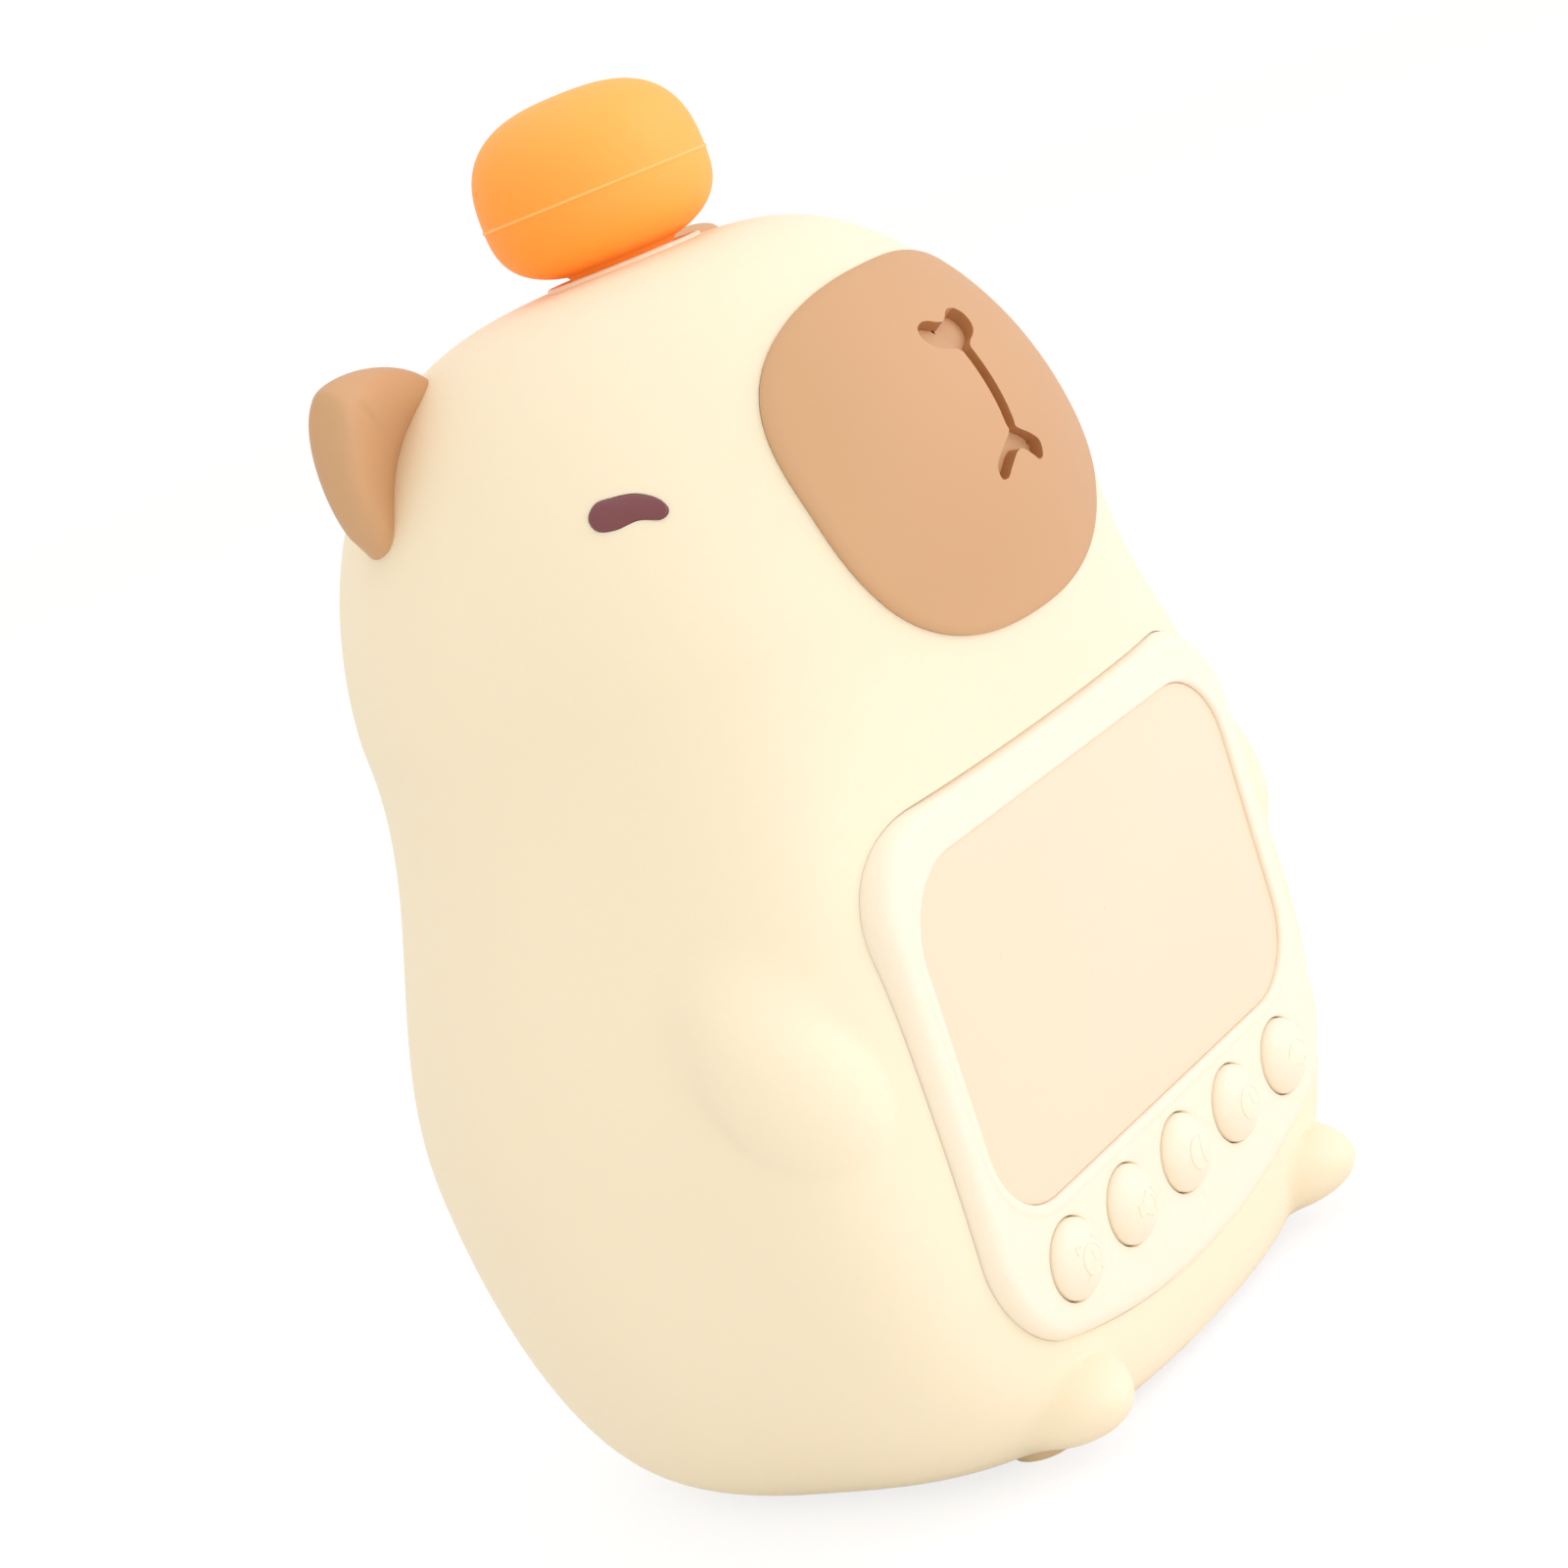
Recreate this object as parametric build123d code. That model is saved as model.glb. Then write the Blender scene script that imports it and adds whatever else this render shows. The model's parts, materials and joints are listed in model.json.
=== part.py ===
"""Animal-shaped bedside alarm clock with a night light, as an assembly of its real pieces.

Millimetres. +X is the clock's left-to-right as seen from the front, the face looks along -Y
and +Z is up. The origin is on the table, under the middle of the whole clock.
"""
from build123d import *
import math
import os

os.makedirs("parts", exist_ok=True)

# ---------------------------------------------------------------- moulded body form
rim_z = 1.4               # underside of the silicone rim
rim_radius = 35.6         # round rim the body narrows to at the table
rim_y = 0.5               # centre of that rim
belly_z = 46.6            # widest height of the belly
belly_half = 54.6         # half width there
belly_front = 39.6        # reach towards the face
belly_back = 55.0         # reach towards the back
cheek_z = 101.1           # height where the head is fullest
cheek_half = 44.2
cheek_front = 45.3
cheek_back = 42.0
crown_z = 144.3           # top of the head
crown_y = -9.3            # the head's top leans forward to here
belly_y = -1.0            # middle line of the belly sections
cheek_y = -5.0            # middle line of the head sections
rim_squareness = 2.5      # 2 is an ellipse, more is a squarer front
belly_squareness = 6.6
cheek_squareness = 3.3
crown_squareness = 2.08
back_squareness = 2.1
half_fullness = 0.54      # how quickly each side rounds out above the rim, less is rounder
front_fullness = 0.56
back_fullness = 0.23
front_squaring = 0.49     # the same for the front's squareness
dome_start = 1.52         # how late the head starts to close
dome_round = 0.29         # how round its top is
muzzle_z = 118.7          # middle of the muzzle swelling
muzzle_reach = 10.5       # how far it swells ahead of the head
muzzle_spread_z = 25.8
muzzle_spread_x = 25.4
skin_wall = 2.6           # silicone skin
outline_points = 24       # points of the skin's spline sections
cavity_points = 16        # points of the hidden sections
middle_sections = 3
rim_shrink = 0.35         # share of an inset that the rim's section takes
rim_turns = (0, 8, 20, 37, 55, 73)    # heights of the sections below the belly, as turns of an arc
crown_turns = (16, 33, 48, 61, 72, 81)

# ---------------------------------------------------------------- inner housing
housing_gap = 0.3         # skin to housing
housing_wall = 2.0
split_y = 2.0             # where the two housing halves meet
floor_hole_radius = 23.0
boss_radius = 4.2
boss_reach = 10.0         # length of a front boss
boss_levels = (30.0, 100.0)
screw_radius = 1.25
screw_head_radius = 2.4
screw_head_height = 1.6
screw_clearance = 0.2
screw_thread = 0.2        # root of the thread inside the screw's radius
screw_bite = 0.15         # pilot hole inside the screw's radius
housing_screw_length = 12.0
housing_screw_seat = 7.0  # head's seat behind the split
boss_side_gap = 0.4
small_screw_radius = 0.85
small_pilot_radius = 0.9  # hole a small screw is driven into
small_clear_radius = 1.1  # hole it passes through
small_head_radius = 1.9
small_head_height = 1.2

# ---------------------------------------------------------------- base
plate_gap = 0.3           # base plate to the skin's rim
plate_ledge = 2.9         # width of the rim's lip under the housing
plate_bottom_z = 2.2
rubber_foot_radius = 4.5
rubber_foot_circle = 26.5 # radius of the circle the feet stand on
rubber_foot_sink = 0.8    # how far a foot sits up into the plate
base_screw_circle = 28.0
base_screw_angle = 20.0   # degrees each base screw stands off the x axis
base_boss_radius = 3.2
base_boss_top_z = 13.0
base_screw_length = 7.0
base_screw_sink = 0.9     # head's counterbore in the plate
rubber_foot_chamfer = 0.5
rubber_foot_gap = 0.05
grille_hole_radius = 1.1
grille_pitch = 5.0
grille_rings = 2

# ---------------------------------------------------------------- speaker
speaker_radius = 18.0
speaker_ring = 2.6        # flange of the speaker's frame
speaker_flange = 1.4
speaker_depth = 9.0
speaker_throat = 10.5
pole_hole_radius = 3.0
magnet_radius = 9.5
magnet_height = 5.0
gasket_thick = 0.6
cone_thick = 0.5
cone_lift = 0.5           # cone's edge above the gasket
cone_gap = 0.2            # cone's edge inside the flange
cone_back_gap = 1.9
basket_wall = 1.2
surround_roll = 1.6       # cone's flat edge inside the flange
dust_cap_radius = 5.6
dust_cap_height = 1.8

# ---------------------------------------------------------------- battery and charging
cell_radius = 9.1
cell_length = 65.0
cell_bottom_z = 28.0
cell_y = 14.5
cradle_wall = 1.6
cradle_gap = 0.2
cradle_half_width = 11.5
cradle_post_x = 8.0
cradle_post_radius = 2.6
cradle_post_inset = 8.0   # posts inside the cell's ends
cradle_screw_length = 5.0
cradle_head_radius = 1.5
cradle_head_height = 0.6
cell_cap_radius = 2.8
cell_cap_height = 1.2
usb_z = 13.9
usb_half_width = 4.47
usb_half_height = 1.63
usb_length = 10.0
usb_shell = 0.35
usb_sink = 1.6            # socket's mouth inside the skin's back
usb_tongue_half = 3.2
usb_tongue_thick = 0.7
usb_slot_gap = 0.3        # liner to socket
usb_notch_gap = 1.1       # housing to socket
surround_half_width = 7.0
surround_half_height = 4.4
surround_corner = 3.0
surround_depth = 3.6      # cutter's depth behind the skin, which slopes here
surround_gap = 0.05
power_board_half_width = 11.0
power_board_length = 18.0
power_board_thick = 1.2
power_board_inset = 7.4   # board's end inside the skin's back
power_screw_inset_x = 2.5
power_screw_inset_y = 4.0
power_screw_length = 4.5
power_post_radius = 2.2

# ---------------------------------------------------------------- night light
light_board_y = 8.0       # front face of the board
light_board_half_width = 20.0
light_board_bottom_z = 98.0
light_board_height = 28.0
light_post_inset = 3.5
light_post_radius = 2.6
led_size = 5.0
led_height = 1.4
led_columns = 3
led_rows = 2
led_pitch_x = 11.0
led_pitch_z = 12.0
light_screw_length = 6.0

# ---------------------------------------------------------------- face panel
panel_lean = 4.5          # degrees, top forward
panel_proud = 0.4         # panel face at the row of keys, ahead of the belly
key_row_z = 23.2          # height of the row of keys
panel_half = 40.4
panel_top = 56.0          # above the key row, along the panel
panel_bottom = 12.9       # below the key row
panel_bottom_radius = 99.0
panel_top_corner = 12.5
panel_bottom_corner = 9.5
panel_depth = 5.4
panel_edge_round = 3.2
panel_gap = 0.15          # skin opening round the panel
screen_half_width = 35.8
screen_half_height = 21.2
screen_middle = 28.7      # above the key row
screen_corner = 10.0
lens_gap = 0.15
lens_sink = 0.5           # lens face below the panel face
lens_thick = 1.6
lens_ledge = 2.8          # ledge the lens sits on, round the see-through opening
window_corner = 5.0

# ---------------------------------------------------------------- keys
key_names = ["alarm", "sound", "sleep", "clock", "lamp"]
key_pitch = 13.4
key_hole_radius = 4.9
key_clearance = 0.25
key_dome = 1.5            # dome height above the key's rim
key_proud = 0.5           # key's rim above the panel face
key_flange_radius = 5.7
key_flange_thick = 0.9
key_flange_gap = 0.3      # flange behind the panel's back face at rest
key_travel = 0.7
key_nub_radius = 1.3
key_nub_gap = 0.4         # nub to board with the key pressed

# ---------------------------------------------------------------- boards behind the panel
board_thick = 1.6
board_inset = 3.6         # main board's edge inside the panel's outline
post_length = 4.2         # panel's back face to the board
frame_wall = 2.0          # ring of the front housing that carries the panel
frame_inset = 1.0
post_radius = 2.1
post_key_side = 7.4       # lower posts beside and above the outermost keys
post_key_rise = 3.2
post_window_side = 4.0    # upper posts inside and above the window's corners
post_window_rise = 3.5
display_gap = 0.6         # lens to display
display_margin = 1.7      # window's edge to the display
switch_size = 6.0
switch_height = 1.7
switch_bore = 1.6
screw_end_gap = 0.6
frame_tail = 3.0          # carrying ring behind the board

# ---------------------------------------------------------------- fruit button on the head
fruit_y = -11.3           # axis of the fruit, its stem and the collar
fruit_radius = 14.0
fruit_upper = 11.7        # equator to top
fruit_lower = 8.8         # underside to equator
fruit_lift = 0.4          # underside above the crown
fruit_fullness = 2.7      # 2 is an ellipse, more is squarer
fruit_points = 28
fruit_wall = 2.2          # soft cap over the fruit's hard core
fruit_seam = 0.25         # raised moulding line round the equator
stem_radius = 6.4
stem_length = 10.2        # below the fruit's underside
stem_gap = 0.4
collar_radius = 10.5
collar_proud = 0.4
collar_chamfer = 0.4
collar_height = 3.1
collar_dish_radius = 9.2   # the fruit presses down into this dish
collar_dish_depth = 0.9
collar_gap = 0.05
fruit_travel = 0.7
top_nub_length = 2.0
top_switch_gap = 0.5      # pressed stem to switch
top_switch_floor = 0.5
top_screw_length = 4.5
top_switch_height = 2.8
top_board_half_width = 12.5
top_board_half_depth = 6.0
top_post_x = 9.8
top_post_radius = 2.2

# ---------------------------------------------------------------- muzzle, eyes and ears
pad_proud = 0.8
pad_sink = 1.2
pad_half_width = 27.0
pad_half_height = 21.5
pad_drop = 5.2            # pad's middle below the swelling's
pad_squareness = 2.35
pad_gap = 0.1
pad_points = 28
groove_depth = 1.2        # of the nose and mouth, below the pad's face
nose_rise = 10.7          # nose above the pad's middle
nose_lobe_radius = 2.0
nose_lobe_x = 2.6
nose_depth = 2.4
groove_width = 1.6
mouth_drop = 2.7          # mouth below the pad's middle
mouth_arm_x = 3.9
mouth_arm_drop = 2.9
mouth_width = 1.6
eye_z = 120.4
eye_angle = 56.9          # degrees round from the front
eye_outline = (           # outwards and up from its middle on the skin, right-hand eye
    (4.5, 0.9), (3.3, 2.3), (1.2, 2.25), (-1.4, 1.75), (-3.6, 0.4),
    (-4.45, -1.2), (-3.4, -2.0), (-0.9, -1.25), (1.7, -1.37), (3.8, -0.75),
)
eye_thick = 1.1
eye_proud = 0.1
eye_gap = 0.05
ear_angle = 119.2         # degrees round from the front
ear_root_z = 133.6
ear_sink = 0.6            # root's middle inside the skin
ear_lean = 48.5           # degrees the ear's axis stands above level
ear_root_slope = 54.4     # degrees across which the root runs down the head
ear_half_width = 11.4
ear_half_thick = 5.3
ear_length = 14.1
ear_forward_lean = 0.21
ear_taper = 1.4           # how late the ear narrows towards its tip
ear_tip_round = 0.735
ear_thick_taper = 2.4
ear_sections = (-0.34, 0.0, 0.25, 0.5, 0.7, 0.85, 0.95, 0.995)
ear_scoop_shift = (4.6, -6.9, 5.0)
ear_scoop_half = (8.0, 4.6, 7.0)
ear_gap = 0.02

# ---------------------------------------------------------------- arms and feet
arm_angle = 59.8          # degrees round from the front
arm_z = 59.5
arm_sink = 3.0            # its middle inside the skin's surface
arm_half = (5.25, 9.2, 14.6)
arm_turn = 44.6           # degrees the arm's flat side faces forward of sideways
arm_tilt = 10.5           # degrees the shoulder sinks into the body
arm_swing = 20.6          # degrees the lower end comes forward
foot_middle = (29.6, -34.7, 7.7)
foot_half = (4.8, 7.4, 5.4)


def blend(t):
    """Smooth step from 0 to 1."""
    t = min(max(t, 0.0), 1.0)
    return (1 - math.cos(math.pi * t)) / 2


def profile(z, rim, belly, cheek, fullness):
    """A reach of the body at height z: round at the bottom, eased from belly to cheek."""
    if z < belly_z:
        drop = min((belly_z - z) / (belly_z - rim_z), 1.0)
        return rim + (belly - rim) * (1 - drop ** 2) ** fullness
    return belly + (cheek - belly) * blend((z - belly_z) / (cheek_z - belly_z))


def middle_line(z):
    """Y of the section's middle below the crown."""
    if z < belly_z:
        drop = min((belly_z - z) / (belly_z - rim_z), 1.0)
        return rim_y + (belly_y - rim_y) * (1 - drop)
    return belly_y + (cheek_y - belly_y) * blend((z - belly_z) / (cheek_z - belly_z))


def section_radius(z, angle, inset=0.0):
    """Radius of the body at height z, angle 0 at the face, and the section's middle y."""
    rise = min(max((z - cheek_z) / (crown_z - cheek_z), 0.0), 0.9999)
    dome = (1 - rise ** dome_start) ** dome_round
    half = profile(z, rim_radius, belly_half, cheek_half, half_fullness) * dome
    base_y = middle_line(z)
    front = profile(z, rim_radius - rim_y, belly_front, cheek_front, front_fullness) + base_y
    back = profile(z, rim_radius + rim_y, belly_back, cheek_back, back_fullness) - base_y
    if z < belly_z:
        drop = min((belly_z - z) / (belly_z - rim_z), 1.0)
        grow = (1 - drop ** 2) ** front_squaring
        square = rim_squareness + (belly_squareness - rim_squareness) * grow
    else:
        ease = blend((z - belly_z) / (cheek_z - belly_z))
        square = belly_squareness + (cheek_squareness - belly_squareness) * ease
        square += (crown_squareness - cheek_squareness) * blend(rise)
    middle = base_y + (crown_y - cheek_y) * rise ** 3
    side = abs(math.sin(angle))
    ahead = math.cos(angle)
    reach = (front if ahead > 0 else back) * dome
    power = square if ahead > 0 else back_squareness
    radius = ((side / half) ** power + (abs(ahead) / reach) ** power) ** (-1 / power)
    if ahead > 0:
        swell = muzzle_reach * math.exp(-((z - muzzle_z) / muzzle_spread_z) ** 2)
        radius += swell * math.exp(-(radius * side / muzzle_spread_x) ** 2) * ahead
    return radius - inset, middle


def skin_point(angle, z, proud=0.0):
    """A point on the body's surface."""
    radius, middle = section_radius(z, angle, -proud)
    return Vector(radius * math.sin(angle), middle - radius * math.cos(angle), z)


def skin_plane(angle, z):
    """A plane on the body's surface, its z outward and its y up the surface."""
    step = 0.02
    along = skin_point(angle + step, z) - skin_point(angle - step, z)
    up = skin_point(angle, z + 1) - skin_point(angle, z - 1)
    out = along.cross(up).normalized()
    return Plane(origin=skin_point(angle, z), x_dir=along, z_dir=out)


def form(inset, points):
    """The whole body form, moved inwards by inset (outwards if negative)."""
    stations = []
    for degrees in rim_turns:
        turn = math.radians(degrees)
        z = rim_z + (belly_z - rim_z) * (1 - math.cos(turn))
        shrink = inset * max(math.sin(turn), rim_shrink)
        stations.append((z, z + max(inset, 0) * math.cos(turn), shrink))
    for i in range(middle_sections + 1):
        z = belly_z + (cheek_z - belly_z) * i / middle_sections
        stations.append((z, z, inset))
    for turn in crown_turns:
        rise = math.sin(math.radians(turn))
        z = cheek_z + (crown_z - cheek_z) * rise
        stations.append((z, z - inset * rise, inset * math.cos(math.radians(turn))))
    wires = []
    for z, level, shrink in stations:
        ring = []
        for i in range(points):
            angle = math.pi + 2 * math.pi * i / points
            radius, middle = section_radius(z, angle, shrink)
            ring.append((radius * math.sin(angle), middle - radius * math.cos(angle), level))
        wires.append(Wire([Edge.make_spline(ring, periodic=True)]))
    return Solid.make_loft(wires)


def cylinder(radius, x, y, z0, z1):
    """Upright cylinder from z0 to z1."""
    return Pos(x, y, (z0 + z1) / 2) * Cylinder(radius, z1 - z0)


def rod_y(radius, x, z, y0, y1):
    """Cylinder along Y from y0 to y1."""
    return Pos(x, (y0 + y1) / 2, z) * Rot(90, 0, 0) * Cylinder(radius, y1 - y0)


def block(x0, x1, y0, y1, z0, z1):
    """Box between two corners."""
    return Pos((x0 + x1) / 2, (y0 + y1) / 2, (z0 + z1) / 2) * Box(x1 - x0, y1 - y0, z1 - z0)


def mirrored(shape):
    """The same piece on the other side."""
    return shape.mirror(Plane.YZ)


lean = math.radians(panel_lean)
board_depth = panel_depth + post_length
board_back = board_depth + board_thick
panel = Plane(
    origin=(0, -belly_front - panel_proud, key_row_z), x_dir=(1, 0, 0),
    z_dir=(0, -math.cos(lean), -math.sin(lean)),
)


def panel_outline(inset):
    """Outline of the face panel: straight top, wide bottom arc, rounded corners."""
    height = panel_top + panel_bottom
    sheet = Pos(0, (panel_top - panel_bottom) / 2) * Rectangle(2 * panel_half, height)
    sheet &= Pos(0, panel_bottom_radius - panel_bottom) * Circle(panel_bottom_radius)
    corners = sheet.vertices().sort_by(Axis.Y)
    sides = [v for v in corners if abs(v.X) > panel_half - 0.01]
    sheet = fillet(sides[-2:], panel_top_corner)
    corners = sheet.vertices().sort_by(Axis.Y)
    low = [v for v in corners if abs(v.X) > panel_half - 0.01][:2]
    sheet = fillet(low, panel_bottom_corner)
    return offset(sheet, -inset) if inset else sheet


def on_panel(sketch, front, back):
    """Extrude a panel sketch between two depths; depths run inwards from the panel's face."""
    return extrude(panel.offset(-back) * sketch, back - front)


def disc(radius, x, v):
    return Pos(x, v) * Circle(radius)


def key_places():
    """X of each key."""
    return [key_pitch * (i - 2) for i in range(len(key_names))]


def posts(radius):
    """The four places where the main board is screwed to the panel."""
    low = (key_places()[-1] + post_key_side, post_key_rise)
    high_x = screen_half_width - lens_ledge - post_window_side
    high = (high_x, screen_middle + screen_half_height - lens_ledge + post_window_rise)
    sheet = Sketch()
    for x, v in (low, high):
        sheet += disc(radius, x, v)
        sheet += disc(radius, -x, v)
    return sheet


# ---------------------------------------------------------------- face panel and its parts
def face_panel():
    body = on_panel(panel_outline(0), 0, panel_depth)
    front_edges = body.faces().sort_by(Axis(panel.origin, panel.z_dir))[-1].edges()
    body = fillet(front_edges, panel_edge_round)
    screen = Pos(0, screen_middle) * RectangleRounded(
        2 * screen_half_width, 2 * screen_half_height, screen_corner
    )
    window = Pos(0, screen_middle) * RectangleRounded(
        2 * (screen_half_width - lens_ledge), 2 * (screen_half_height - lens_ledge), window_corner
    )
    body -= on_panel(screen, -5, lens_sink + lens_thick)
    body -= on_panel(window, -5, panel_depth + 1)
    for x in key_places():
        body -= on_panel(disc(key_hole_radius, x, 0), -5, panel_depth + 1)
    pillars = on_panel(posts(post_radius), panel_depth - 1, board_depth)
    pilots = on_panel(posts(small_pilot_radius), panel_depth, board_depth + 1)
    return body + pillars - pilots


def screen_lens():
    sheet = Pos(0, screen_middle) * RectangleRounded(
        2 * (screen_half_width - lens_gap), 2 * (screen_half_height - lens_gap), screen_corner - lens_gap
    )
    return on_panel(sheet, lens_sink, lens_sink + lens_thick)


def display_module():
    front = lens_sink + lens_thick + display_gap
    sheet = Pos(0, screen_middle) * Rectangle(
        2 * (screen_half_width - lens_ledge - display_margin),
        2 * (screen_half_height - lens_ledge - display_margin),
    )
    return on_panel(sheet, front, board_depth)


def main_board():
    sheet = panel_outline(board_inset)
    return on_panel(sheet - posts(small_clear_radius), board_depth, board_back)


def board_screws():
    heads = on_panel(posts(small_head_radius), board_back, board_back + small_head_height)
    shanks = on_panel(posts(small_screw_radius), panel_depth + screw_end_gap, board_back)
    return heads + shanks


def key_switches():
    group = Part()
    for x in key_places():
        sheet = Pos(x, 0) * Rectangle(switch_size, switch_size) - disc(switch_bore, x, 0)
        group += on_panel(sheet, board_depth - switch_height, board_depth)
    return group


def key_cap(x):
    """Domed key: cap through the panel, flange behind it, nub into its switch."""
    radius = key_hole_radius - key_clearance
    flange_front = panel_depth + key_flange_gap
    flange_back = flange_front + key_flange_thick
    nub_end = board_depth - key_travel - key_nub_gap
    cap = on_panel(disc(radius, x, 0), -key_proud, flange_front)
    cap += on_panel(disc(key_flange_radius, x, 0), flange_front, flange_back)
    cap += on_panel(disc(key_nub_radius, x, 0), flange_back, nub_end)
    ball = (radius ** 2 + key_dome ** 2) / (2 * key_dome)
    dome = Sphere(ball) & Pos(0, 0, ball - key_dome / 2) * Box(2 * ball, 2 * ball, key_dome)
    seat = Plane(
        origin=panel.from_local_coords((x, 0, key_proud + key_dome - ball)),
        x_dir=panel.x_dir, z_dir=panel.z_dir,
    )
    return cap + seat * dome


# ---------------------------------------------------------------- head details
pad_middle_z = muzzle_z - pad_drop
nose_z = pad_middle_z + nose_rise
nose_tip_z = nose_z - nose_depth
mouth_z = pad_middle_z - mouth_drop


def pad_outline(gap):
    """Superellipse outline of the muzzle pad, drawn on XZ."""
    points = []
    for i in range(pad_points):
        turn = 2 * math.pi * i / pad_points
        c, s = math.cos(turn), math.sin(turn)
        x = (pad_half_width + gap) * math.copysign(abs(c) ** (2 / pad_squareness), c)
        z = (pad_half_height + gap) * math.copysign(abs(s) ** (2 / pad_squareness), s)
        points.append((x, 0, pad_middle_z + z))
    return Face(Wire([Edge.make_spline(points, periodic=True)]))


def pad_prism(gap):
    """The pad's outline, run through the front of the head."""
    front_y = -(cheek_front + muzzle_reach + 12)
    face = Pos(0, front_y, 0) * pad_outline(gap)
    return Solid.extrude(face, Vector(0, 45, 0))


def groove_tool():
    """Nose and mouth as one cutter whose floor follows the muzzle."""
    sheet = disc(nose_lobe_radius, nose_lobe_x, nose_z)
    sheet += disc(nose_lobe_radius, -nose_lobe_x, nose_z)
    rim = nose_lobe_x + nose_lobe_radius * 0.72
    flank = nose_z - nose_lobe_radius * 0.69
    sheet += make_face(Polyline((-rim, flank), (rim, flank), (0, nose_tip_z), (-rim, flank)))
    stroke = nose_tip_z + 1 - mouth_z
    sheet += Pos(0, mouth_z + stroke / 2) * Rectangle(groove_width, stroke)
    arm = math.hypot(mouth_arm_x, mouth_arm_drop)
    turn = math.degrees(math.atan2(mouth_arm_drop, mouth_arm_x))
    for side in (1, -1):
        place = Pos(side * mouth_arm_x / 2, mouth_z - mouth_arm_drop / 2) * Rot(0, 0, -side * turn)
        sheet += place * SlotOverall(arm + mouth_width, mouth_width)
    ahead = Plane(origin=(0, -(cheek_front + muzzle_reach + 12), 0), x_dir=(1, 0, 0), z_dir=(0, -1, 0))
    return extrude(ahead * sheet, -35) - groove_floor


def eye_sheet(gap):
    """Sleepy eye: a bean with its back arched up and its front end hanging."""
    middle = sum((Vector(u, v) for u, v in eye_outline), Vector()) / len(eye_outline)
    points = []
    for u, v in eye_outline:
        reach = Vector(u, v) - middle
        points.append(Vector(u, v) + reach.normalized() * gap)
    return make_face(Spline(*points, periodic=True))


def eye_plug(gap, front, back):
    """The right eye's outline run through the skin at its place."""
    plane = skin_plane(math.radians(eye_angle), eye_z)
    return extrude(plane.offset(-back) * eye_sheet(gap), back + front)


def ear_form(inset):
    """Right-hand ear: elliptic sections from the root to a rounded tip."""
    root = skin_point(math.radians(ear_angle), ear_root_z, -ear_sink)
    out = math.radians(ear_lean)
    axis = Vector(math.cos(out), -ear_forward_lean, math.sin(out)).normalized()
    slope = math.radians(ear_root_slope)
    across = Vector(-math.sin(slope), 0, math.cos(slope))
    wires = []
    for along in ear_sections:
        narrow = (1 - max(along, 0.0) ** ear_taper) ** ear_tip_round
        plane = Plane(origin=root + axis * (along * ear_length), x_dir=across, z_dir=axis)
        width = ear_half_width * narrow - inset
        thick = ear_half_thick * (1 - max(along, 0.0) ** ear_thick_taper) ** 0.5 - inset
        wires.append((plane * Ellipse(max(width, 0.5), max(thick, 0.4))).wire())
    return Solid.make_loft(wires)


def ear():
    root = skin_point(math.radians(ear_angle), ear_root_z, -ear_sink)
    scoop = Rot(0, -ear_lean, 0) * scaled_ball(*ear_scoop_half)
    return ear_form(0) - Pos(root + Vector(*ear_scoop_shift)) * scoop


def scaled_ball(a, b, c):
    """Ellipsoid with half axes a, b and c."""
    ball = Solid.make_sphere(1.0)
    return ball.transform_geometry(Matrix([[a, 0, 0, 0], [0, b, 0, 0], [0, 0, c, 0]]))


def arm():
    seat = Pos(skin_point(math.radians(arm_angle), arm_z, -arm_sink))
    turn = Rot(0, 0, -arm_turn) * Rot(-arm_swing, 0, 0) * Rot(0, -arm_tilt, 0)
    return seat * turn * scaled_ball(*arm_half)


def foot():
    return Pos(*foot_middle) * scaled_ball(*foot_half)


# ---------------------------------------------------------------- build
outer = form(0, outline_points)
cavity = form(skin_wall, cavity_points)
housing_outer = form(skin_wall + housing_gap, cavity_points)
housing_inner = form(skin_wall + housing_gap + housing_wall, cavity_points)
pad_outer = form(-pad_proud, outline_points)
pad_floor = form(pad_sink, outline_points)
groove_floor = form(groove_depth - pad_proud, outline_points)

rim_opening = rim_radius - plate_ledge
collar_top_z = crown_z + collar_proud
collar_bottom_z = collar_top_z - collar_height
fruit_bottom_z = crown_z + fruit_lift
fruit_equator_z = fruit_bottom_z + fruit_lower
fruit_top_z = fruit_equator_z + fruit_upper
stem_bottom_z = fruit_bottom_z - stem_length
top_board_top_z = stem_bottom_z - fruit_travel - top_switch_gap - top_switch_height
plate_top_z = rim_z + skin_wall + housing_gap
floor_top_z = plate_top_z + housing_wall
usb_back = skin_point(math.pi, usb_z).Y


def silicone_skin():
    """Soft outer body with its arms and feet moulded on."""
    body = outer
    for limb in (arm(), foot()):
        body = body + limb + mirrored(limb)
    body = body - cavity
    body -= cylinder(rim_opening, 0, rim_y, -1, floor_top_z + 2)
    body -= cylinder(collar_radius + collar_gap, 0, fruit_y, collar_bottom_z - 4, crown_z + 2)
    body -= on_panel(panel_outline(-panel_gap), -15, 20)
    body -= pad_prism(pad_gap) - pad_floor
    socket = eye_plug(eye_gap, 3, eye_thick)
    body = body - socket - mirrored(socket)
    root = ear_form(-ear_gap)
    body = body - root - mirrored(root)
    return body - surround_prism(surround_gap)


# ---------------------------------------------------------------- housing
def boss_sites():
    """X and z of the bosses that join the housing halves, close inside the side walls."""
    for z in boss_levels:
        radius = section_radius(z, math.pi / 2, skin_wall + housing_gap)[0]
        yield radius - boss_radius - boss_side_gap, z
        yield -(radius - boss_radius - boss_side_gap), z


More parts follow.
